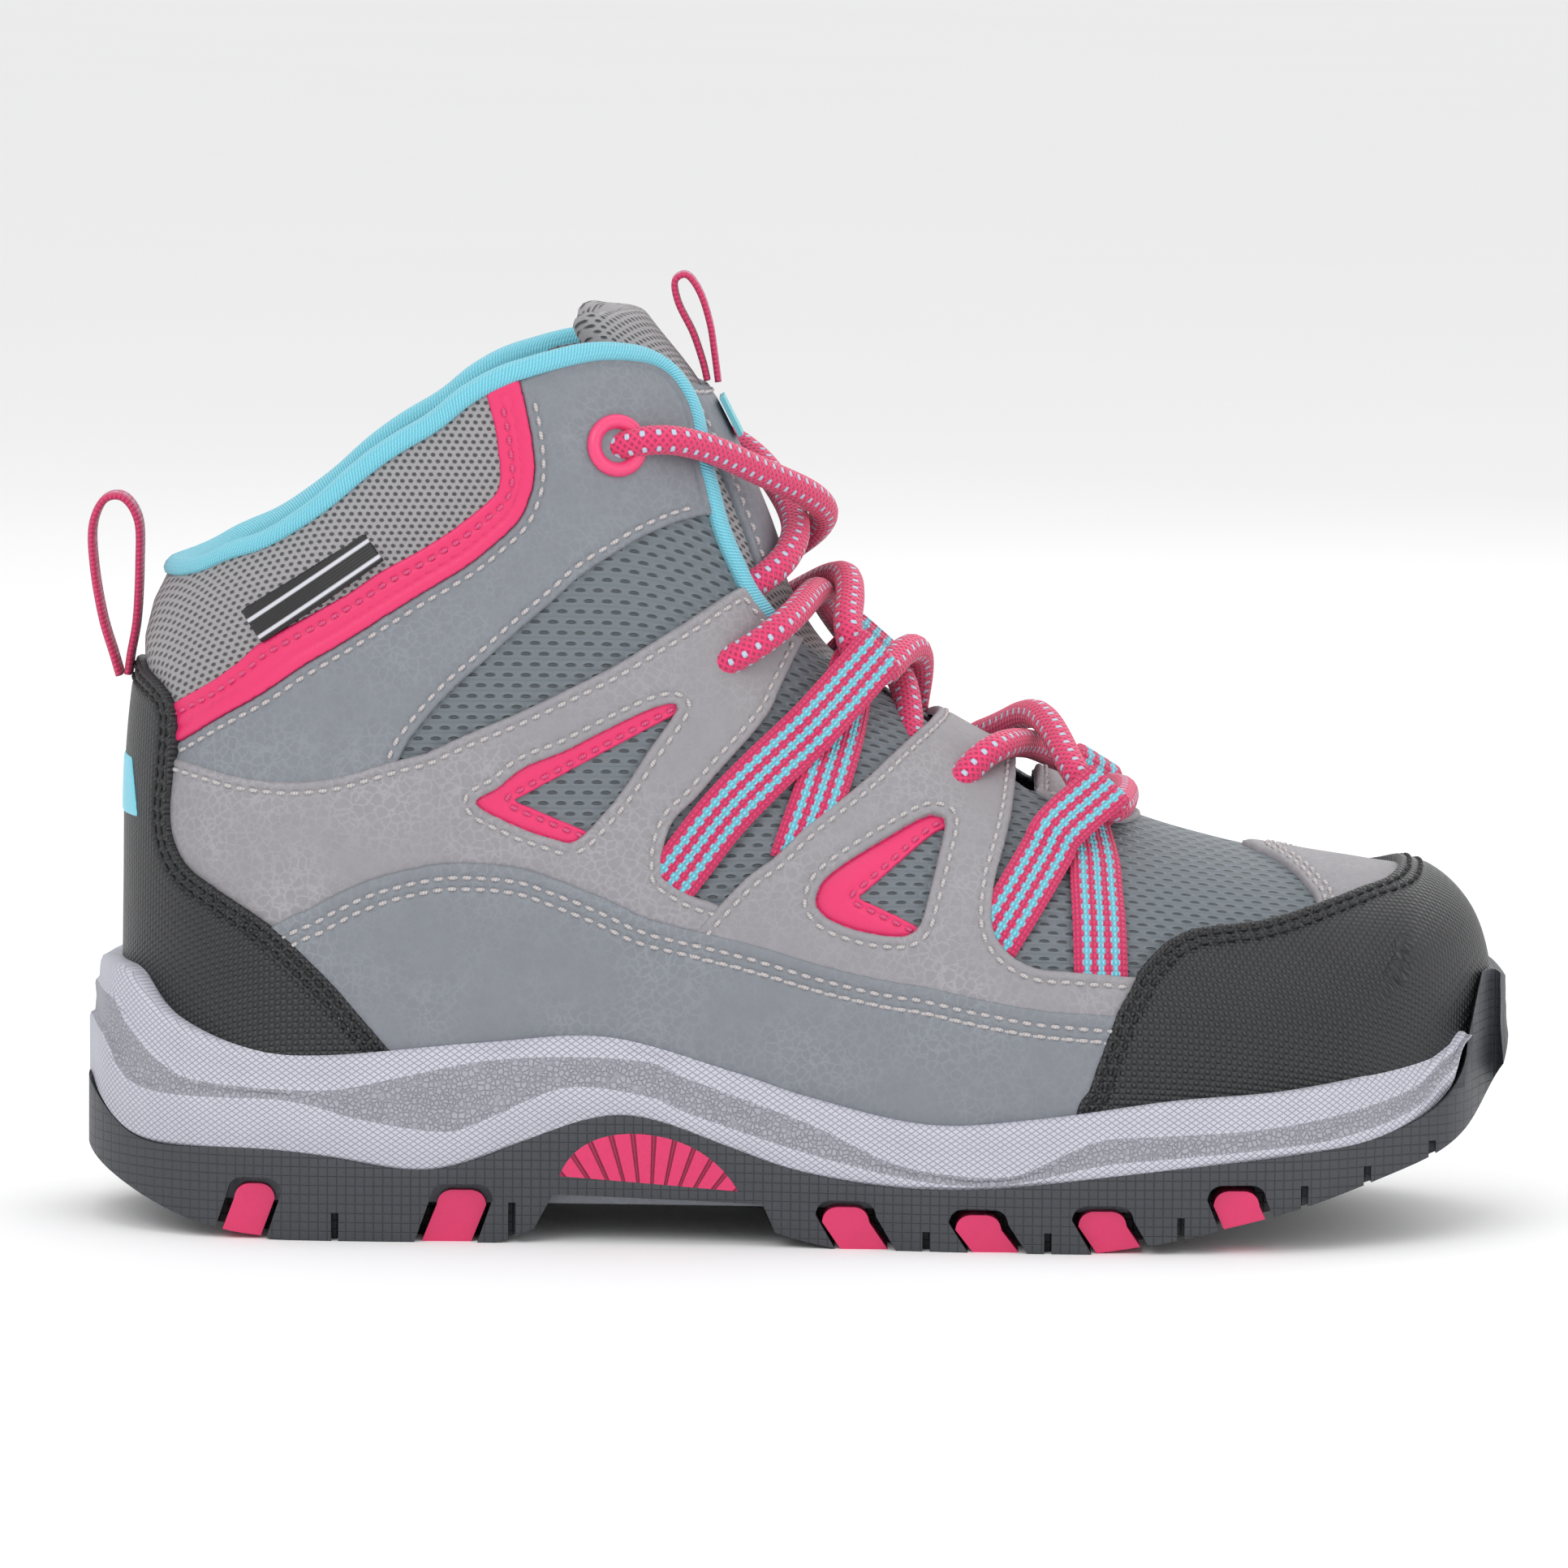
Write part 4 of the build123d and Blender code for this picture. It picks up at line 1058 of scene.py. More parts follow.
toe_shape = outline([(43.6, 8), (44.6, 22.4), (46.5, 26), (47.8, 29.9), (49.5, 34.6), (51, 38.6),
                     (53, 41.9),
                     (54.3, 44.5), (56.2, 46.5), (58.8, 48.5), (62.7, 50), (67, 50.4), (73.8, 50.9),
                     (80.4, 52.2), (85.6, 53.5), (90.9, 54.9), (95.6, 56), (98.2, 58), (99.4, 62),
                     (99.6, 70)],
                    [(140, 70), (140, 4)])
heel_shape = outline([(-130, 92.6), (-109.6, 91.8), (-105.6, 89.8), (-103, 87.9), (-101.6, 85.9),
                      (-100.9, 82.6),
                      (-101.2, 77.3), (-101.5, 73.3), (-101.9, 68), (-101.2, 63.3), (-98.8, 59.3),
                      (-94.1, 56.1), (-88.8, 52.8), (-84.8, 49.9), (-80.8, 46.2), (-75.5, 40.9),
                      (-71.5, 36.3),
                      (-67.5, 31.7), (-62, 25), (-58, 12)], [(-130, 12)])
GUARD_TOP = [(-95, 44), (-84, 51.5), (-80.1, 53.3), (-74.9, 56.2), (-69.6, 58.5), (-64.4, 60),
             (-57.9, 61.2),
             (-51.4, 61.2), (-44.8, 60.4), (-38.3, 58.2), (-31.7, 55.6), (-25.1, 52.6), (-18.6, 51),
             (-12, 49.5), (-5.5, 47.9), (1.1, 46), (7.6, 44.4), (14.2, 43.1), (20.7, 42.2),
             (27.3, 40.8),
             (33.8, 39.6), (40.4, 38.7), (51.5, 37.9), (64, 37)]
guard_shape = outline(GUARD_TOP, [(64, 2), (-95, 2)])
MID_TOP = [(-112, 78), (-100.2, 76.4), (-91, 74.5), (-83.1, 74), (-76.6, 74.6), (-71.3, 76),
           (-66.1, 77.6),
           (-60.9, 79), (-54.3, 82.1), (-46.5, 85.4), (-38.6, 89.2), (-30.8, 93.2), (-25.6, 96.4),
           (-19, 100.4),
           (-12.5, 104.4), (-6, 107.6)]
mid_rear_shape = outline(MID_TOP, [(3, 104), (1.6, 99.6), (-1.3, 95), (-3.9, 89.7), (-6.5, 84.4),
                                   (-13.6, 76.4),
                                   (-17.5, 71.8), (-20.8, 68.5), (-22.4, 64.5), (-22.7, 60.5),
                                   (-22, 58.6),
                                   (-17.4, 56), (-13, 54.4), (-8, 50), (-6, 40)],
                                   [(-6, 20), (-112, 20)])
mid_fore_shape = outline([(-26, 38), (-17.3, 50), (-9.5, 58.7), (-4.3, 62.7), (0.9, 67.6),
                          (8.7, 73.3),
                          (15.2, 78.6), (20.5, 82.2), (23.7, 83.6), (27, 83), (31, 80.1),
                          (33.6, 77.5),
                          (34.3, 75.5), (33.9, 70.2), (33.1, 66.2), (32, 62.3), (30.9, 58.3),
                          (30.5, 53),
                          (31.5, 49.7), (33.9, 47.1), (37.8, 45.2), (43.1, 44.6), (53.6, 43.6),
                          (66, 42)],
                         [(66, 20), (-26, 20)])
WINDOW_REAR = [(-52.9, 70.8), (-49.4, 73.4), (-45.1, 76.8), (-38.6, 79.5), (-30.7, 83.6),
               (-24.2, 86.6),
               (-20.7, 87), (-21.3, 85), (-25.4, 79), (-28.6, 74), (-31.9, 69.7), (-36.9, 64.8),
               (-41.1, 65.4),
               (-46.3, 67.2)]
WINDOW_FORE = [(2.3, 56.3), (3.6, 59), (7.5, 62), (14, 65.7), (19.2, 68.3), (22, 68.5), (22.9, 67),
               (21.9, 62.4),
               (20.6, 57.1), (19.4, 52.5), (18.1, 50.8), (15.5, 50.1), (10.2, 50.7), (4.9, 52.4),
               (2.6, 54.4)]
window_rear = curve(WINDOW_REAR, closed=True, steps=5)
window_fore = curve(WINDOW_FORE, closed=True, steps=5)
mesh_rear = outline([(-46.9, 71.3), (-20.4, 85.6), (-17, 85.6)],
                    [(-22, 78), (-33.2, 66), (-35, 66.4)])
mesh_fore = outline([(9, 56.2), (20.6, 65.8), (25, 67)], [(22, 56), (20, 51.4), (17.4, 52.4)])
TRIM_LOW = [(-112, 72), (-99.6, 80.4), (-93.7, 84.4), (-87.2, 88.4), (-80.7, 93.1), (-74.1, 97.1),
            (-67.6, 101.3), (-61.1, 105.4), (-54.5, 109.5), (-49.3, 113.8), (-46.1, 117.1),
            (-44.4, 121.1),
            (-43.8, 125), (-44.2, 129.6), (-45.3, 134.9), (-47.6, 144)]
TRIM_HIGH = [(-110, 79), (-100.6, 86.2), (-96.4, 88.9), (-91.2, 92.9), (-88, 95.9), (-83.4, 98.9),
             (-78.2, 102), (-72.9, 105.2), (-68.4, 108.3), (-62.5, 111.6), (-57.3, 114.9),
             (-53.3, 118),
             (-50.1, 120.9), (-49.2, 123.6), (-49.5, 127.5), (-50.2, 132.2), (-51.5, 137),
             (-53.4, 144)]
trim_shape = outline(TRIM_LOW, TRIM_HIGH[::-1])
SHAFT_FRONT = [(-2, 109), (-7.3, 111), (-11, 114.4), (-15.3, 117), (-20.5, 116.4), (-25.8, 114.4),
               (-31, 111.4),
               (-36.2, 107.9), (-40.1, 104.3), (-45.4, 99.7), (-51.9, 93.7), (-57.1, 89),
               (-62.3, 83),
               (-65.5, 77.4), (-68, 66)]
shaft_shape = outline(TRIM_LOW, [(-47, 160), (0, 160), (0, 112)], SHAFT_FRONT, [(-112, 62)])
vamp_shape = outline([(54.5, 67.6), (60.4, 65.4), (67.1, 63.4), (73.7, 61.5), (77.7, 60.1),
                      (80.3, 58.5),
                      (82.3, 56.6), (83.7, 54.6), (84.2, 50), (84.2, 42)],
                     [(130, 42), (130, 90), (30, 90), (42, 72.2)])
eyestay_shape = outline([(10, 98), (13, 88.6), (20, 84.4), (30, 77), (41.4, 69.6), (51, 66.4),
                         (57, 66.6)],
                        [(57, 90), (20, 110)])
face_shape = outline([(-36, 141), (-22.2, 138.9), (-13.2, 137.4), (0, 136)],
                     [(20, 104.6), (-20, 108.6)])
tongue_shape = outline([(-34, 150), (-25, 131), (-22.5, 122), (-18.5, 110), (-9, 97.5), (2, 88),
                        (15, 79.5),
                        (28, 72), (34, 69)], [(36, 84), (10, 110), (10, 151.5), (-34, 151.5)])
tongue_way = outline([(-64, 160), (-46, 118), (-32, 98), (0, 76), (30, 60)], [(46, 70), (46, 160)])
mesh_collar_shape = outline(TRIM_HIGH, [(-54, 160), (-140, 160), (-140, 79)])

edge_field = field(below_collar)
upper_field = field(upper_shape)
BOOT = "boot"


def on_boot(piece, *nodes, body=BOOT):
    """Lets a piece stand for CAD nodes and move with a body."""
    if nodes:
        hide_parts(*nodes)
    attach(piece, body)
    return piece


# ---- fabric shell and lining -------------------------------------------------------------
def shell(name, f, outer_k, inner_k, material, inner_material=None):
    """Closed sheet between two heights over the last."""
    patch = Patch(f, BOTH, (0.0, 0.6))
    soft = 0.5 * (outer_k - inner_k) * (1 - rounding(patch.f / 0.6))
    top = patch.place + patch.normal * (outer_k - soft)[:, None]
    bottom = patch.place + patch.normal * (inner_k + soft)[:, None]
    count = len(top)
    rim = [[q, p, p + count, q + count] for p, q in patch.rim()]
    faces = patch.faces + [[p + count for p in face[::-1]] for face in patch.faces] + rim
    piece = add_mesh(name, np.concatenate([top, bottom]), faces, np.concatenate([patch.uv] * 2),
                     material)
    if inner_material:
        piece.data.materials.append(inner_material)
        index = np.zeros(len(piece.data.polygons), dtype=np.int32)
        index[len(patch.faces):2 * len(patch.faces)] = 1
        piece.data.polygons.foreach_set("material_index", index)
    return piece


y_field = np.abs(GRID[..., 1])
on_boot(shell("upper_shell", upper_field, 0.0, -TEXTILE, mat_textile, mat_lining), "upper_textile")
way_field = np.maximum(-field(tongue_way), y_field - TONGUE_HALF - 0.8)
lining_field = np.minimum(field(outline(collar_edge, [(39, 95), (150, 95)], FLOOR[::-1])),
                          way_field)
on_boot(shell("foot_lining", lining_field, -TEXTILE - 0.1, -LINING_DEPTH, mat_lining), "lining",
        "collar_padding",
        "vamp_interlining")

# ---- sewn panels -------------------------------------------------------------------------
def gap_to(p, run):
    """Side-view distance from a point to a line of points."""
    a, b = np.array(run[:-1], dtype=float), np.array(run[1:], dtype=float)
    d, w = b - a, np.array([p[0], p[2]]) - a
    t = np.clip(np.sum(w * d, 1) / np.sum(d * d, 1), 0, 1)
    return np.min(np.linalg.norm(w - t[:, None] * d, axis=1))


def off_collar(p):
    return gap_to(p, REAR_EDGE) > 3.4


def along_trim_top(p):
    return gap_to(p, TRIM_HIGH) < gap_to(p, TRIM_LOW) and off_collar(p)


window_cut = [-field(window_rear), -field(window_fore)]
toe_field, heel_field, guard_field = field(toe_shape), field(heel_shape), field(guard_shape)
shaft_field = np.minimum(field(shaft_shape), edge_field - 0.6)
mid_rear_field = np.minimum(field(mid_rear_shape), np.minimum(window_cut[0], edge_field - 0.4))
mid_fore_field = np.minimum(field(mid_fore_shape), window_cut[1])
guard_field = np.minimum(guard_field, np.minimum(5 - heel_field, 5 - toe_field))
mid_rear_field = np.minimum(mid_rear_field, np.minimum(2.5 - heel_field, 6 - guard_field))
mid_fore_field = np.minimum(mid_fore_field, np.minimum(2.5 - toe_field, 6 - guard_field))
trim_field = np.minimum(field(trim_shape), edge_field - 0.4)
collar_mesh_field = np.minimum(field(mesh_collar_shape) + 1.5, edge_field + 0.3)
vamp_field = np.minimum(field(vamp_shape), 4 - toe_field)
eyestay_field = np.minimum(field(eyestay_shape), edge_field - 0.2)
for cap_field in (shaft_field, trim_field, collar_mesh_field):
    np.minimum(cap_field, 2.5 - heel_field, out=cap_field)

window_rear_trim = np.minimum(field(window_rear) + 1.2, -field(mesh_rear))
window_fore_trim = np.minimum(field(window_fore) + 1.2, -field(mesh_fore))
# Piece, CAD node it stands for, field, thickness, material, seams, thread, other settings.
SIDE_PANELS = [
    ("window_trim_rear", "window_trim_rear", window_rear_trim, 0.75, mat_pink_leather, (1.0,),
     mat_thread_pink, {}),
    ("window_trim_fore", "window_trim_fore", window_fore_trim, 0.75, mat_pink_leather, (1.0,),
     mat_thread_pink, {}),
    ("shaft", "quarter_upper", shaft_field, 1.0, mat_cool, (1.6,), mat_thread,
     {"where": off_collar}),
    ("mid_panel_rear", "quarter_mid", mid_rear_field, 1.0, mat_mid, (1.7,), mat_thread,
     {"lift": 0.5}),
    ("mid_panel_fore", None, mid_fore_field, 0.9, mat_mid, (1.7,), mat_thread, {"lift": 1.0}),
    ("mudguard", "mudguard", guard_field, 0.9, mat_cool, (2.4, 4.2), mat_thread, {"lift": 1.4}),
    ("collar_trim", "collar_trim", trim_field, 0.7, mat_pink_leather, (2.0,), mat_thread_pink,
     {"lift": 0.8, "where": along_trim_top}),
]
SIDES = ((OUTER, "outer"), (INNER, "inner"))
for side, suffix in SIDES:
    for name, node, shape, thickness, material, seams, sewn_with, more in SIDE_PANELS:
        sewn = panel(f"{name}_{suffix}", shape, thickness, material, side, seams, sewn_with, **more)
        on_boot(sewn, *([f"{node}_{suffix}"] if node else []))
on_boot(panel("vamp_overlay", vamp_field, 1.2, mat_mid, BOTH, (1.3, 2.6), mat_thread), "vamp_top")
on_boot(panel("eyestay", eyestay_field, 0.9, mat_mid, BOTH, (1.5,), mat_thread))
for name, shape, nodes in (
        ("toe_cap_weave", np.minimum(toe_field, upper_field + 1), ("toe_cap", "toe_puff")),
        ("heel_cap_weave", heel_field, ("heel_cap", "heel_counter"))):
    on_boot(panel(name, shape, 0.9, mat_caps, BOTH, (1.4, 2.9), mat_thread_black, lift=1.9,
                  uv=CAP_UV), *nodes)
collar = on_boot(panel("collar_mesh", collar_mesh_field, 0.7, mat_mesh, BOTH, puff=1.3),
                 "collar_mesh_outer",
                 "collar_mesh_inner")

# ---- rolled binding round the collar -----------------------------------------------------
rim_patch = Patch(edge_field, BOTH, (0.0,))
rim_chain = max(rim_patch.lines(0.0), key=len)
ring = rim_patch.place[rim_chain]
ring_normal = rim_patch.normal[rim_chain]
if np.allclose(ring[0], ring[-1]):
    ring, ring_normal = ring[:-1], ring_normal[:-1]
start = int(np.argmax(ring[:, 0]))
ring, ring_normal = np.roll(ring, -start, 0), np.roll(ring_normal, -start, 0)
keep = ring[:, 0] < -3.4
ring, ring_normal = ring[keep], ring_normal[keep]
places, run = resample(ring, 1.0)
ring, ring_normal = read_at(places, run, ring), read_at(places, run, ring_normal)
for _ in range(3):
    ring[1:-1] = (ring[:-2] + 2 * ring[1:-1] + ring[2:]) / 4
    ring_normal[1:-1] = (ring_normal[:-2] + 2 * ring_normal[1:-1] + ring_normal[2:]) / 4
ring_normal = unit_rows(ring_normal)
tangent = unit_rows(np.gradient(ring, axis=0))
upward = np.cross(tangent, ring_normal)
if upward[len(ring) // 2, 2] < 0:
    upward = -upward
REAR_ROLL = [(0.5, -0.9), (1.5, -0.8), (1.9, -0.1), (1.8, 0.8), (1.3, 1.7), (0.3, 2.2), (-1.2, 2.4),
             (-2.8, 2.3), (-4.2, 1.8), (-5.1, 0.8), (-5.4, -0.6), (-5.2, -2), (-4.2, -2.2)]
FLAP_ROLL = [(0.5, -1.5), (1.35, -1.35), (1.7, -0.5), (1.7, 0.5), (1.3, 1.3), (0.8, 1.8), (0.1, 2),
             (-0.6, 1.8), (-1.1, 1.3), (-1.4, 0.5), (-1.5, -0.3), (-1.4, -1.2), (-0.8, -1.4)]
share = ease((-36 - ring[:, 0]) / 12)
share = share[:, None, None]
roll = np.array(REAR_ROLL)[None] * share + np.array(FLAP_ROLL)[None] * (1 - share)
sections = ring[:, None] + ring_normal[:, None] * roll[..., :1] + upward[:, None] * roll[..., 1:]
binding = sweep("collar_binding", ring, sections, mat_binding)
on_boot(binding, "collar_binding_rear", "collar_binding_flap")

# ---- tongue ------------------------------------------------------------------------------
TONGUE = "tongue"
tongue_field = np.minimum(field(tongue_shape), TONGUE_HALF - y_field)


def pad(name, f, top_k, bottom_k, material):
    """Padded sheet with full round edges."""
    soft = 3.2
    patch = Patch(f, BOTH, (0.0, 0.3, 0.9, 1.8, soft))
    half = (top_k - bottom_k) / 2
    swell = half * rounding(patch.f / soft)
    middle = (top_k + bottom_k) / 2
    top = patch.place + patch.normal * (middle + swell)[:, None]
    low = patch.place + patch.normal * (middle - swell)[:, None]
    inside = patch.f > 1e-6
    index = np.arange(len(top))
    index[inside] = len(top) + np.arange(inside.sum())
    faces = patch.faces + [[int(index[p]) for p in face[::-1]] for face in patch.faces]
    points = np.concatenate([top, low[inside]])
    return add_mesh(name, points, faces, np.concatenate([patch.uv, patch.uv[inside]]), material)


tongue_pad = on_boot(pad("tongue_padding", tongue_field, -TEXTILE - 0.4, -8.0, mat_mesh),
                     "tongue_pad", body=TONGUE)
face_field = np.minimum(np.minimum(field(face_shape), 14 - y_field), -edge_field - 2.7)
on_boot(panel("tongue_panel", face_field, 1.2, mat_cool, BOTH, (1.6,), mat_thread, lift=-1.7),
        "tongue_face",
        body=TONGUE)
for threads in made_stitches:
    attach(threads, TONGUE if threads.name.startswith("tongue") else BOOT)


# ---- straps, pull loops and lace ---------------------------------------------------------
def surface_normal(x, z, side):
    n = on_last(x, z, side, 1.0) - on_last(x, z, side, 0.0)
    return n / np.linalg.norm(n)


def flat_loop(name, points, width, thickness, material):
    line = curve([(x, 0, z) for x, z in points], steps=8)
    return strap(name, line, np.tile([0.0, 1.0, 0.0], (len(line), 1)), material, width, thickness)


HEEL_LOOP = [(-112.4, 88.6), (-113.4, 92), (-115.2, 98), (-116.6, 106), (-116.9, 113),
             (-115, 117.4),
             (-111.8, 117.8), (-109.4, 114), (-109.2, 107), (-109.6, 98), (-110.6, 92),
             (-111, 88.8)]
TONGUE_LOOP = [(-14.4, 137.6), (-15, 142), (-15.8, 147), (-17.4, 152), (-19.6, 155), (-21.6, 154),
               (-21, 150.4), (-18.6, 145.6), (-17, 141), (-16.2, 137.8)]
on_boot(flat_loop("heel_loop_webbing", HEEL_LOOP, 8.5, 1.3, mat_pull), "heel_pull_loop",
        body="heel_loop")
on_boot(flat_loop("tongue_loop_webbing", TONGUE_LOOP, 7.0, 1.1, mat_pull), "tongue_pull_loop",
        body="tongue_loop")


def half_lace(s, low):
    """Lace route from the middle of the front bar to its tail."""
    rise = 0 if low else CROSSING
    return [
        across(52.4, 68, 6 * s, 3.6), on_last(49.6, 65.2, s, 4.6), on_last(45.4, 66.6, s, 5.2),
        on_last(41.4, 70.2, s, 4.8 + rise / 3), across(37.5, 74.6, 4 * s, 3.8 + rise),
        across(34.5, 76, -4 * s, 3.8 + rise), on_last(30.6, 75.2, -s, 5.0),
        on_last(27, 74.6, -s, 3.6),
        on_last(24.4, 72.8, -s, -1.2), on_last(20.4, 74.6, -s, -4.8), on_last(18.4, 80.4, -s, -1.6),
        across(15.6, 86.5, -4 * s, 2.8 + rise), across(12.6, 88.7, 4 * s, 3.2 + rise),
        on_last(10.2, 86.8, s, 4.8),
        on_last(6, 89.6, s, 5.2), on_last(2.4, 94.6, s, 4.6 + rise / 3),
        across(0.8, 100, 4 * s, 3 + rise),
        across(-0.6, 103.2, -4 * s, 3 + rise), on_last(-5.4, 98.8, -s, 5),
        on_last(-10, 95.2, -s, 4),
        on_last(-14.4, 92.6, -s, -1.2), on_last(-15.4, 97.6, -s, -5.2),
        on_last(-11, 103.4, -s, -3.6),
        on_last(-5.6, 107.4, -s, 1.8), across(-4.2, 112, -5 * s, 3.6 + rise),
        across(-5.6, 116, 4 * s, 3.8 + rise),
        on_last(-11.4, 122.4, s, 4.6), on_last(-18.6, 127, s, 4.4), on_last(-25.6, 129.2, s, 4.2),
        on_last(-30.8, 128.6, s, -0.4), on_last(-34.6, 126.6, s, -6.2),
        on_last(-41, 122.4, s, -7.9),
        on_last(-48, 116.6, s, -7.9),
    ]


def route_line(points):
    """Smooth line that a NURBS curve takes through a route of control points."""
    data = bpy.data.curves.new("route", "CURVE")
    data.dimensions = "3D"
    spline = data.splines.new("NURBS")
    spline.points.add(len(points) - 1)
    for control, place in zip(spline.points, points):
        control.co = (*(place * MM), 1)
    spline.order_u = 3
    spline.use_endpoint_u = True
    spline.resolution_u = 10
    carrier = bpy.data.objects.new("route", data)
    mesh = bpy.data.meshes.new_from_object(carrier)
    line = np.array([v.co for v in mesh.vertices]) / MM
    bpy.data.objects.remove(carrier)
    bpy.data.meshes.remove(mesh)
    return line


def round_tube(name, line, radius, material):
    """Round cord whose UV runs along it in millimetres and round it from 0 to 1."""
    sides = 16
    places_, run_ = resample(line, 0.7)
    places_ = np.concatenate([[0], places_, [run_[-1]]])
    line = read_at(places_, run_, line)
    t = unit_rows(np.gradient(line, axis=0))
    normal = np.cross(t[0], [0.3, 0.2, 1])
    rings, uv, faces = [], [], []
    for i, here in enumerate(line):
        normal = normal - t[i] * (normal @ t[i])
        normal /= np.linalg.norm(normal)
        side = np.cross(t[i], normal)
        for q in range(sides + 1):
            a = 2 * math.pi * q / sides
            rings.append(here + radius * (math.cos(a) * normal + math.sin(a) * side))
            uv.append((places_[i], q / sides))
    width = sides + 1
    for i in range(len(line) - 1):
        for q in range(sides):
            a = i * width + q
            faces.append([a, a + 1, a + 1 + width, a + width])
    faces.append(list(range(sides))[::-1])
    faces.append([(len(line) - 1) * width + q for q in range(sides)])
    return add_mesh(name, rings, faces, uv, material)


outer_half = half_lace(-1, False)
inner_half = half_lace(1, True)
lace_line = route_line(inner_half[::-1] + outer_half)
on_boot(round_tube("shoe_lace", lace_line, LACE / 2, mat_lace), "lace")


def sideways_on(x, z, side, direction):
    """Unit vector along the surface from a side-view direction."""
    normal = surface_normal(x, z, side)
    w = np.array([direction[0], 0.0, direction[1]])
    w -= normal * (w @ normal)
    return w / np.linalg.norm(w)


STRAP_WIDTH, STRAP_THICK = 8.8, 1.5
LACE_HEIGHT = 5.2    # of the lace over the last where a strap holds it


def lace_strap(name, leg_a, leg_b, seat, side):
    """Webbing that comes up as leg A, folds over the lace and goes back down as leg B."""
    x, z = seat
    k = int(np.argmin(np.linalg.norm(lace_line - on_last(x, z, side, LACE_HEIGHT), axis=1)))
    lace_here, lace_way = lace_line[k], lace_line[k + 3] - lace_line[k - 3]
    lace_way /= np.linalg.norm(lace_way)
    normal = surface_normal(x, z, side)
    normal -= lace_way * (normal @ lace_way)
    normal /= np.linalg.norm(normal)
    ahead = np.cross(lace_way, normal)
    last_x, last_z, last_k, way = leg_a[-1]
    if ahead @ (lace_here - on_last(last_x, last_z, side, last_k)) < 0:
        ahead = -ahead
    if lace_way @ sideways_on(last_x, last_z, side, way) < 0:
        lace_way = -lace_way
    reach = LACE / 2 + STRAP_THICK / 2 + 0.1
    places = [[on_last(x, z, side, k) for x, z, k, _ in leg] for leg in (leg_a, leg_b)]
    ways = [[sideways_on(x, z, side, way) for x, z, _, way in leg] for leg in (leg_a, leg_b)]
    line, across_ = places[0], ways[0]
    for turn in (-18, 22, 62, 100, 140, 180):
        a = math.radians(turn)
        line.append(lace_here + reach * (math.cos(a) * normal + math.sin(a) * ahead))
        across_.append(lace_way)
    line, across_ = line + places[1], across_ + ways[1]
    return strap(name, curve(np.array(line), steps=8), curve(np.array(across_), steps=8),
                 mat_webbing, STRAP_WIDTH,
                 STRAP_THICK)


# Stops of the legs: x, z, height over the last, and the sideways direction in the side view.
REAR_A = [(-25.5, 53, 0.1, (-0.8, 0.6)), (-22.6, 56.6, 0.3, (-0.8, 0.6)),
          (-19, 61.4, 0.8, (-0.77, 0.64)),
          (-13, 69.2, 1.2, (-0.73, 0.68)), (-7, 75.4, 1.5, (-0.71, 0.7)),
          (-1.8, 80, 2.2, (-0.71, 0.7)),
          (1.6, 83, 4.2, (-0.73, 0.68))]
REAR_B = [(5.6, 82.6, 1.0, (-0.95, 0.3)), (4.2, 77.4, 0.9, (-0.95, 0.31)),
          (2.2, 71.2, 0.9, (-0.95, 0.31)),
          (0.3, 65.8, 0.7, (-0.95, 0.31)), (-1.1, 61.6, 0.1, (-0.95, 0.31))]
FORE_A = [(28.2, 45.2, 0.1, (-0.85, 0.53)), (31, 49.8, 0.3, (-0.85, 0.53)),
          (33.6, 53.8, 0.8, (-0.85, 0.53)),
          (36.6, 58.4, 1.3, (-0.85, 0.53)), (39, 62, 2.2, (-0.86, 0.51)),
          (40.6, 64.2, 4.2, (-0.88, 0.47))]
FORE_B = [(47, 61.4, 1.2, (-1, 0.08)), (47.5, 57, 0.9, (-1, 0.05)), (47.9, 52, 0.9, (-1, 0.02)),
          (48.2, 46, 0.7, (-1, 0)), (48.4, 41, 0.1, (-1, 0))]
for side, suffix in SIDES:
    on_boot(lace_strap(f"lace_strap_rear_{suffix}", REAR_A, REAR_B, (7, 89), side),
            f"webbing_rear_{suffix}")
    on_boot(lace_strap(f"lace_strap_fore_{suffix}", FORE_A, FORE_B, (45.4, 66.6), side),
            f"webbing_fore_{suffix}")


# ---- eyelets, label, badge ---------------------------------------------------------------
def lathe(name, centre, axis, profile, material):
    """Ring turned round an axis from (radius, height) points."""
    sides = 48
    axis = axis / np.linalg.norm(axis)
    u = np.cross(axis, [0, 0, 1.0])
    u /= np.linalg.norm(u)
    v = np.cross(axis, u)
    points, faces = [], []
    for q in range(sides):
        a = 2 * math.pi * q / sides
        for r, h in profile:
            points.append(centre + axis * h + r * (math.cos(a) * u + math.sin(a) * v))
    n = len(profile)
    for q in range(sides):
        for i in range(n):
            a, b = q * n + i, q * n + (i + 1) % n
            c, d = ((q + 1) % sides) * n + (i + 1) % n, ((q + 1) % sides) * n + i
            faces.append([a, b, c, d])
    return add_mesh(name, points, faces, None, material)


EYELET = (-30.8, 128.7)
EYELET_RING = [(5.1, -0.2), (5.1, 0.35), (4.8, 0.8), (4.2, 1.15), (3.6, 1.15), (3.1, 0.8),
               (2.75, 0.2), (2.6, -1.2),
               (2.9, -1.2)]
for side, suffix in SIDES:
    seat = on_last(*EYELET, side, 1.0)
    on_boot(lathe(f"eyelet_ring_{suffix}", seat, surface_normal(*EYELET, side), EYELET_RING,
                  mat_eyelet),
            f"eyelet_{suffix}")

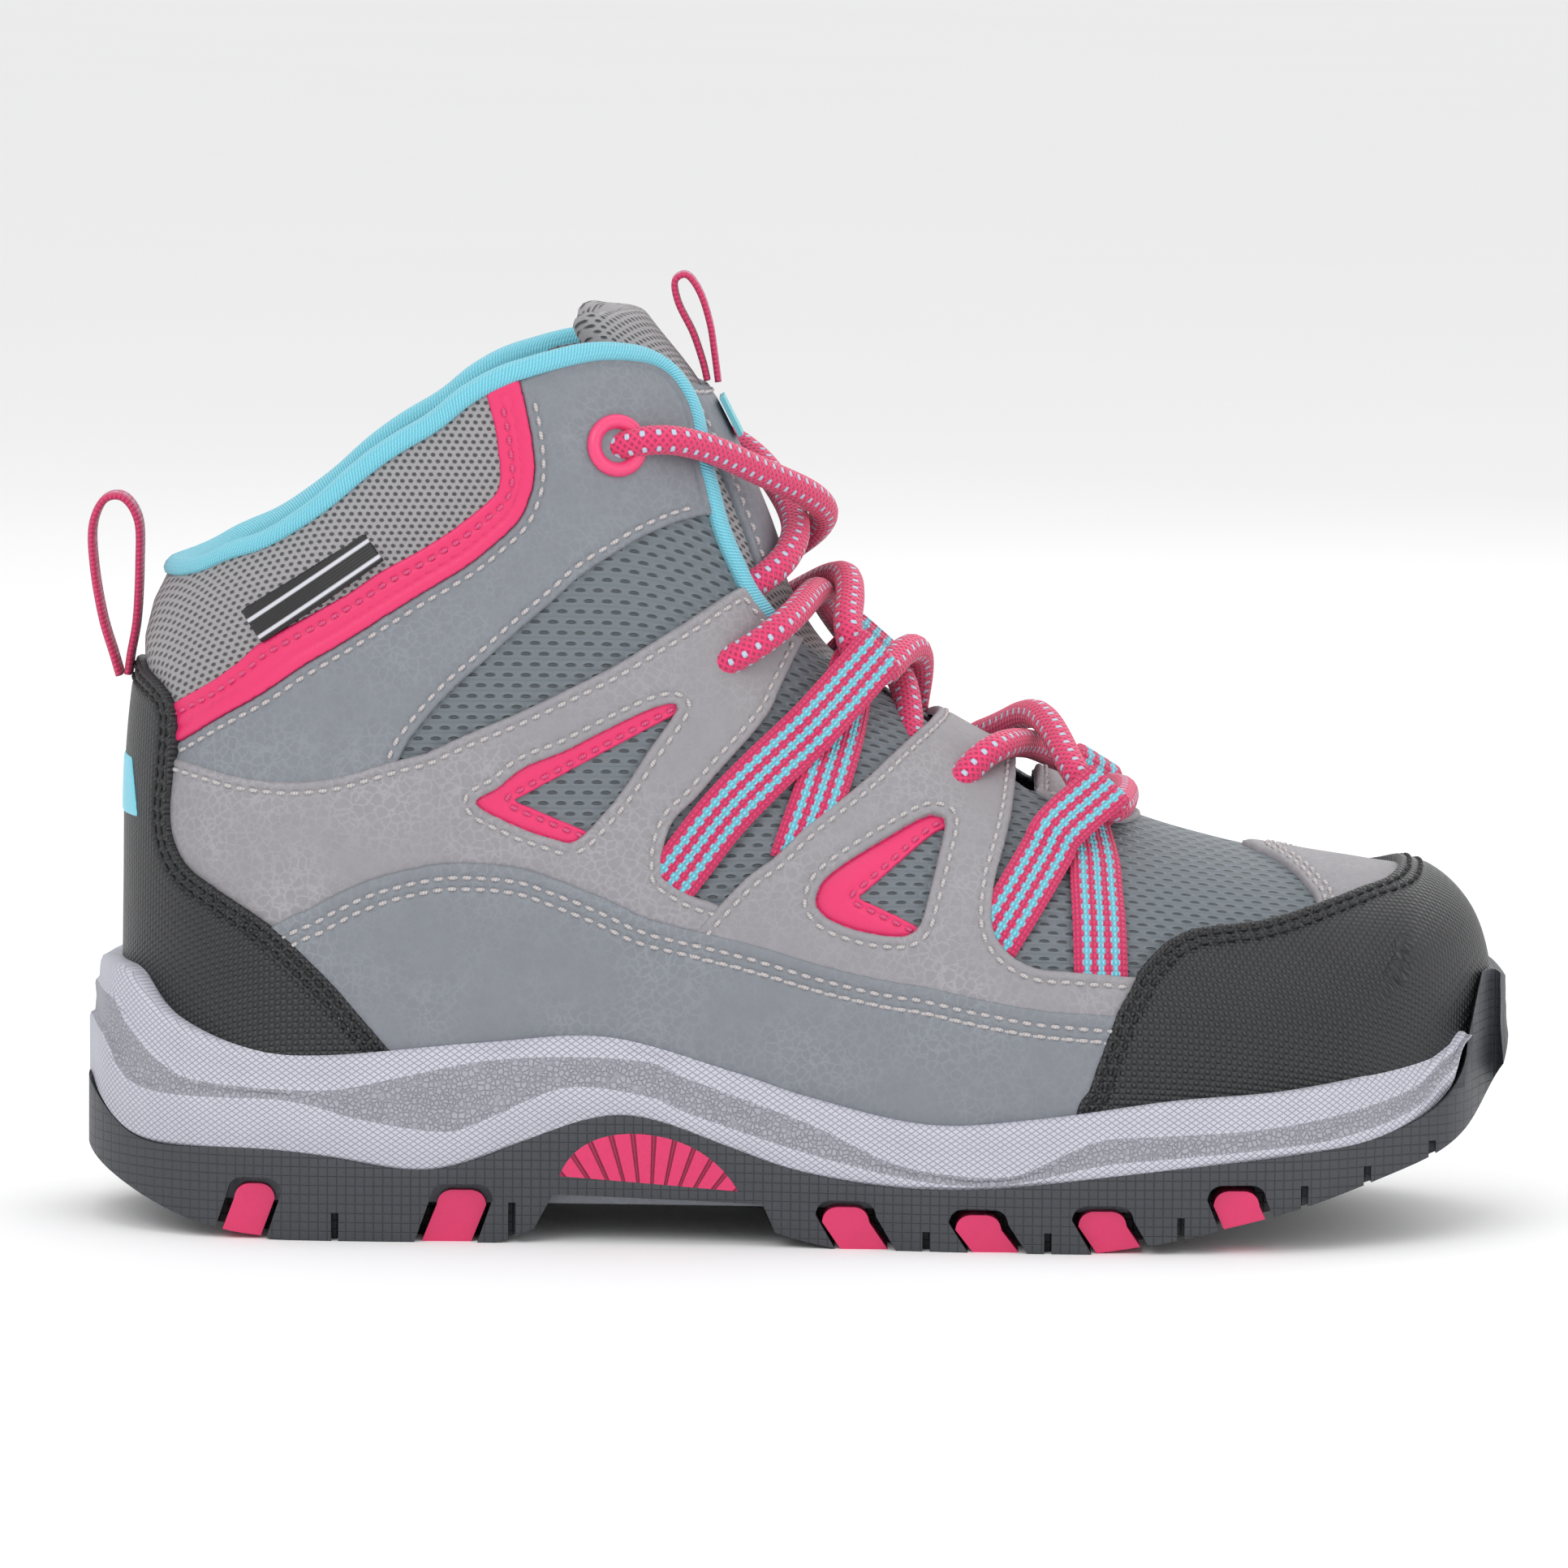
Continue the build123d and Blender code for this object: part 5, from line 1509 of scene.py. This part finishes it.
# Plain ribbon and plain patch where the photographed boot has lettering.
label_shape = outline([(-90.2, 101.3), (-71, 114.6)], [(-67.9, 110.2), (-87, 96.4)])
on_boot(panel("side_label_satin", np.minimum(field(label_shape), edge_field), 0.7, mat_label, OUTER,
              lift=1.7),
        "side_label")
accent_shape = outline([(-130, 79), (-107.2, 75.6)], [(-106.2, 66.4), (-130, 66.4)])
on_boot(panel("heel_accent", field(accent_shape), 0.35, mat_accent, BOTH, lift=2.7))

# ---- midsole -----------------------------------------------------------------------------
PLAN_OUTER = [(-117.4, 0), (-113.2, -18), (-100, -30.8), (-80, -35.8), (-50, -36.6), (-20, -37.8),
              (10, -41.2),
              (40, -44.4), (62, -44.2), (84, -40.5), (98, -32.6), (109, -21), (115.2, -10),
              (117.4, 0)]
PLAN_INNER = [(117.4, 0), (115.2, 11), (109, 23.4), (99, 34.6), (84, 42.4), (62, 44.8), (35, 43.2),
              (5, 37.4),
              (-25, 33.4), (-55, 33.4), (-85, 34), (-104, 28), (-114, 15), (-117.4, 0)]
BAND_ONE = [(-118, 38), (-113.2, 36.8), (-110.3, 32.3), (-103.7, 27), (-97.1, 25.1), (-77.5, 24.3),
            (-64.4, 26.7),
            (-51.3, 29.4), (-38.2, 30.2), (-25, 29.6), (-18.5, 27), (1.3, 20), (14.4, 14.1),
            (24.9, 12.2),
            (34.1, 12.3), (40.7, 15), (48.5, 18.3), (60.3, 19.1), (73.4, 19.9), (86.5, 21.9),
            (99.6, 25.3),
            (106.1, 30), (118, 36)]
BAND_TWO = [(-118, 33), (-114.2, 30.9), (-107.6, 23.7), (-84, 23), (-70.9, 20), (-57.7, 18.2),
            (-51.2, 20.2),
            (-38.1, 25.6), (-25, 24.4), (-18.4, 21.8), (-8, 18.4), (1.3, 15.6), (14.4, 12.4),
            (24.9, 11),
            (34.1, 11.4), (48.5, 14.6), (60.3, 15.8), (73.4, 17), (86.5, 18.6), (99.6, 22.4),
            (106.1, 28),
            (118, 36)]
TREAD_TOP = [(-120, 25), (-116.5, 22), (-109.4, 15.8), (-97, 14.7), (-77, 13.8), (-60, 11.8),
             (-44.5, 16.7),
             (-28.8, 21), (-11.8, 16.2), (1.3, 12.2), (24.8, 10), (53.4, 13), (85, 16.6),
             (98.7, 19.9),
             (105.8, 24.6), (108.8, 32), (118, 36)]


def height_along(table, x):
    fine = curve(table, steps=10)
    order = np.argsort(fine[:, 0])
    return np.interp(x, fine[order, 0], fine[order, 1])


def footprint():
    """Closed plan line, evenly spaced, and its outward normals."""
    plan = np.concatenate([curve(PLAN_OUTER, steps=20)[:-1], curve(PLAN_INNER, steps=20)])
    run_ = run_along(plan)
    even = np.linspace(0, run_[-1], 561)[:-1]
    plan = read_at(even, run_, plan)
    t = unit_rows(np.roll(plan, -1, 0) - np.roll(plan, 1, 0))
    return plan, np.stack([t[:, 1], -t[:, 0]], 1), even


plan, plan_out, plan_run = footprint()
tops = [height_along(table, plan[:, 0]) for table in (FEATHER, BAND_ONE, BAND_TWO, TREAD_TOP)]
feather, band_one, band_two, tread_top = tops
band_one = np.minimum(band_one, feather - 0.4)
band_two = np.minimum(np.minimum(band_two, band_one - 0.05), feather - 0.6)
band_two = np.maximum(band_two, tread_top + 0.15)
band_one = np.maximum(band_one, band_two + 0.1)
# Rows of the midsole from the tread up: level line, height over it, distance inside the plan.
ROWS_UP = [("tread", -1.6, 3.0), ("tread", 0.0, 0.35), ("tread", 0.5, 0.05), ("two", -0.9, 0.0),
           ("two", -0.2, 0.2),
           ("two", 0.25, 0.9), ("mid", 0.0, 1.1), ("one", -0.5, 0.9), ("one", 0.1, 1.05),
           ("one", 0.7, 1.6),
           ("high", 0.0, 1.7), ("feather", -1.4, 1.8), ("feather", -0.4, 2.2),
           ("feather", 0.0, 3.0),
           ("feather", -0.1, 4.6), ("feather", -1.0, 9.0), ("feather", -1.6, 14.0)]
CAP_OUT = 2.8        # outside of the caps, measured from the last
BUMPER_FROM = 109.4  # x from which the toe bumper covers the midsole
PEBBLED_ROWS = range(4, 8)
TUCKED_IN = 5        # rows this far inside the plan are hidden below the upper
levels = {"tread": tread_top, "two": band_two, "mid": (band_one + band_two) / 2, "one": band_one,
          "high": (band_one + feather) / 2, "feather": feather}
midsole_points, midsole_uv, row_z = [], [], []
for place, dz, inwards in ROWS_UP:
    z = levels[place] + dz
    if row_z:
        z = z if inwards > TUCKED_IN else np.maximum(z, row_z[-1] + 0.01)
    row_z.append(z)
    row = plan - plan_out * inwards
    if inwards < TUCKED_IN:
        for side in (OUTER, INNER):
            here = np.sign(row[:, 1]) == side
            clear = half_width(np.column_stack([row[:, 0], z]), side,
                               CAP_OUT) + max(0.2, 2.4 - inwards)
            row[here, 1] = side * np.maximum(np.abs(row[here, 1]),
                                             np.where(clear > 4, clear, 0)[here])
    midsole_points.append(np.column_stack([row, z]))
    midsole_uv.append(np.column_stack([plan_run, z]))
midsole_points = np.stack(midsole_points)
wide = len(plan)
sole_faces, sole_slots = [], []
for r in range(len(ROWS_UP) - 1):
    for i in range(wide):
        j = (i + 1) % wide
        if plan[i, 0] > BUMPER_FROM and plan[j, 0] > BUMPER_FROM:
            continue
        sole_faces.append([r * wide + i, r * wide + j, (r + 1) * wide + j, (r + 1) * wide + i])
        sole_slots.append(1 if r in PEBBLED_ROWS else 0)
midsole = add_mesh("midsole_foam", midsole_points.reshape(-1, 3), sole_faces,
                   np.concatenate(midsole_uv), mat_foam)
midsole.data.materials.append(mat_foam_dark)
midsole.data.polygons.foreach_set("material_index", sole_slots)
on_boot(midsole, "midsole")

# ---- outsole with its toe bumper rounded off ---------------------------------------------
TOE_CENTRE = 85.0    # x of the vertical axis that the bumper is rounded about
BUMPER_OUT = 5.2     # outside of the bumper, measured from the last
TRIM_Z = np.linspace(25, 46, 15)
TRIM_ANGLES = np.radians(np.linspace(-88, 88, 89))
TRIM_FAR = 60.0
TRIM_RISE = 9.0      # height over which the sole's edge turns into the bumper


def toe_radius(z):
    """Distance from the toe's axis to the grown last, for every trim angle."""
    steps = np.linspace(8, 45, 186)
    angle, step = np.meshgrid(TRIM_ANGLES, steps, indexing="ij")
    x, y = TOE_CENTRE + step * np.cos(angle), step * np.sin(angle)
    points = np.column_stack([x.ravel(), np.full(x.size, z)])
    inside = np.zeros(x.size, dtype=bool)
    for side in (OUTER, INNER):
        here = np.sign(y.ravel() + 1e-9) == side
        inside[here] = np.abs(y.ravel()[here]) < half_width(points[here], side, BUMPER_OUT)
    return np.max(np.where(inside.reshape(x.shape), step, 0), axis=1)


def plan_radius():
    """Distance from the toe's axis to the edge of the sole, for every trim angle."""
    angle = np.arctan2(plan[:, 1], plan[:, 0] - TOE_CENTRE)
    order = np.argsort(angle)
    return np.interp(TRIM_ANGLES, angle[order],
                     np.hypot(plan[:, 0] - TOE_CENTRE, plan[:, 1])[order])


def toe_trim():
    """Everything outside the rounded bumper, as one closed mesh."""
    edge = plan_radius() + 0.6
    points, faces = [], []
    for z in TRIM_Z:
        share = ease((z - TRIM_Z[0]) / TRIM_RISE)
        radius = edge * (1 - share) + np.minimum(edge, toe_radius(min(z, 40))) * share
        radius = np.convolve(np.pad(radius, 3, mode="edge"), np.full(7, 1 / 7), mode="valid")
        for r in (radius, np.full_like(radius, TRIM_FAR)):
            points.append(np.column_stack([TOE_CENTRE + r * np.cos(TRIM_ANGLES),
                                           r * np.sin(TRIM_ANGLES),
                                           np.full_like(r, z)]))
    wide_, rows_ = len(TRIM_ANGLES), len(TRIM_Z)

    def spot(row, outer_ring, i):
        return (2 * row + outer_ring) * wide_ + i

    for i in range(wide_ - 1):
        for row in range(rows_ - 1):
            faces.append([spot(row, 0, i), spot(row + 1, 0, i), spot(row + 1, 0, i + 1),
                          spot(row, 0, i + 1)])
            faces.append([spot(row, 1, i), spot(row, 1, i + 1), spot(row + 1, 1, i + 1),
                          spot(row + 1, 1, i)])
        faces.append([spot(0, 0, i), spot(0, 0, i + 1), spot(0, 1, i + 1), spot(0, 1, i)])
        top_ = rows_ - 1
        faces.append([spot(top_, 0, i), spot(top_, 1, i), spot(top_, 1, i + 1),
                      spot(top_, 0, i + 1)])
    for row in range(rows_ - 1):
        end = wide_ - 1
        faces.append([spot(row, 0, 0), spot(row, 1, 0), spot(row + 1, 1, 0), spot(row + 1, 0, 0)])
        faces.append([spot(row, 0, end), spot(row + 1, 0, end), spot(row + 1, 1, end),
                      spot(row, 1, end)])
    return add_mesh("toe_trim", np.concatenate(points), faces)


def soften(piece):
    bevel = piece.modifiers.new("soft_edges", "BEVEL")
    bevel.width = 0.45 * MM
    bevel.segments = 2
    bevel.limit_method = "ANGLE"
    bevel.angle_limit = math.radians(40)


def rounded_outsole():
    """The CAD outsole with its toe bumper cut to a rounded shape and its edges softened."""
    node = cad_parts["outsole"]
    rough = bpy.data.objects.new("rough_outsole", node.data.copy())
    rough.matrix_world = node.matrix_world.copy()
    bpy.context.collection.objects.link(rough)
    cutter = toe_trim()
    cut = rough.modifiers.new("cut", "BOOLEAN")
    cut.operation = "DIFFERENCE"
    cut.object = cutter
    cut.solver = "EXACT"
    soften(rough)
    bpy.context.view_layer.update()
    depsgraph = bpy.context.evaluated_depsgraph_get()
    mesh = bpy.data.meshes.new_from_object(rough.evaluated_get(depsgraph))
    for helper in (cutter, rough):
        bpy.data.objects.remove(helper)
    mesh.materials.clear()
    mesh.materials.append(mat_outsole)
    mesh.polygons.foreach_set("use_smooth", np.ones(len(mesh.polygons), dtype=bool))
    mesh.set_sharp_from_angle(angle=math.radians(35))
    piece = bpy.data.objects.new("outsole_rubber", mesh)
    piece.matrix_world = node.matrix_world.copy()
    bpy.context.collection.objects.link(piece)
    return piece


on_boot(rounded_outsole(), "outsole")

# ---- CAD nodes that stay -----------------------------------------------------------------
kept = {
    "arch_insert": mat_arch, "lug_inserts_fore": mat_lug, "lug_inserts_heel": mat_lug,
    "aglet_outer": mat_aglet, "aglet_inner": mat_aglet, "footbed": mat_footbed,
    "insole_board": mat_board,
    "shank": mat_board, "tongue_badge": mat_badge,
}
for name, material in kept.items():
    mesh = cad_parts[name].data
    mesh.materials.clear()
    mesh.materials.append(material)
for name in ("arch_insert", "lug_inserts_fore", "lug_inserts_heel"):
    soften(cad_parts[name])

# ---- floor, light, camera ----------------------------------------------------------------
floor_material = new_material("pale_floor", roughness=0.9)
floor_nodes = Nodes(floor_material)
floor_tone = floor_nodes.noise(floor_nodes.add("ShaderNodeTexCoord").outputs["Object"], 3.0, 2)
floor_nodes.link(floor_nodes.mix(floor_tone, (0.93, 0.93, 0.935), (0.95, 0.95, 0.955)),
                 "Base Color")
FLOOR_HALF = 12000   # half size of the floor, millimetres
floor_points = [(x * FLOOR_HALF, y * FLOOR_HALF, 0) for x,
                y in ((-1, -1), (1, -1), (1, 1), (-1, 1))]
add_mesh("floor", floor_points, [[0, 1, 2, 3]], None, floor_material)


LIT = Vector((0, 0, 0.06))


def area_light(name, location, size, power):
    """Soft light that faces the boot; metres and watts."""
    data = bpy.data.lights.new(name, "AREA")
    data.shape = "RECTANGLE"
    data.size, data.size_y = size
    data.energy = power
    light = bpy.data.objects.new(name, data)
    light.location = location
    direction = LIT - Vector(location)
    light.rotation_euler = direction.to_track_quat("-Z", "Y").to_euler()
    bpy.context.collection.objects.link(light)


area_light("key", (-0.55, -1.1, 1.0), (1.0, 0.8), 5.9)
area_light("fill", (0.9, -1.0, 0.45), (1.0, 1.0), 2.8)
area_light("top", (0.1, 0.1, 1.3), (1.4, 1.2), 3.6)
area_light("rim", (0.5, 1.0, 0.7), (0.8, 0.6), 2.1)
world = bpy.data.worlds.new("studio")
bpy.context.scene.world = world
world.use_nodes = True
world.node_tree.nodes["Background"].inputs[0].default_value = (1.0, 1.0, 1.0, 1)
world.node_tree.nodes["Background"].inputs[1].default_value = 0.88
bpy.context.scene.view_settings.view_transform = "Standard"

AIM, DISTANCE, ELEVATION, ROLL = Vector((-0.0031, 0, 0.0712)), 1.7, 6.0, 0.45
camera_data = bpy.data.cameras.new("camera")
camera_data.sensor_width = 36
camera_data.lens = 237
camera = bpy.data.objects.new("camera", camera_data)
tilt = math.radians(ELEVATION)
camera.location = AIM + Vector((0, -math.cos(tilt), math.sin(tilt))) * DISTANCE
look = (AIM - camera.location).to_track_quat("-Z", "Y").to_matrix()
camera.rotation_euler = (look @ Matrix.Rotation(math.radians(ROLL), 3, "Z")).to_euler()
bpy.context.collection.objects.link(camera)
bpy.context.scene.camera = camera
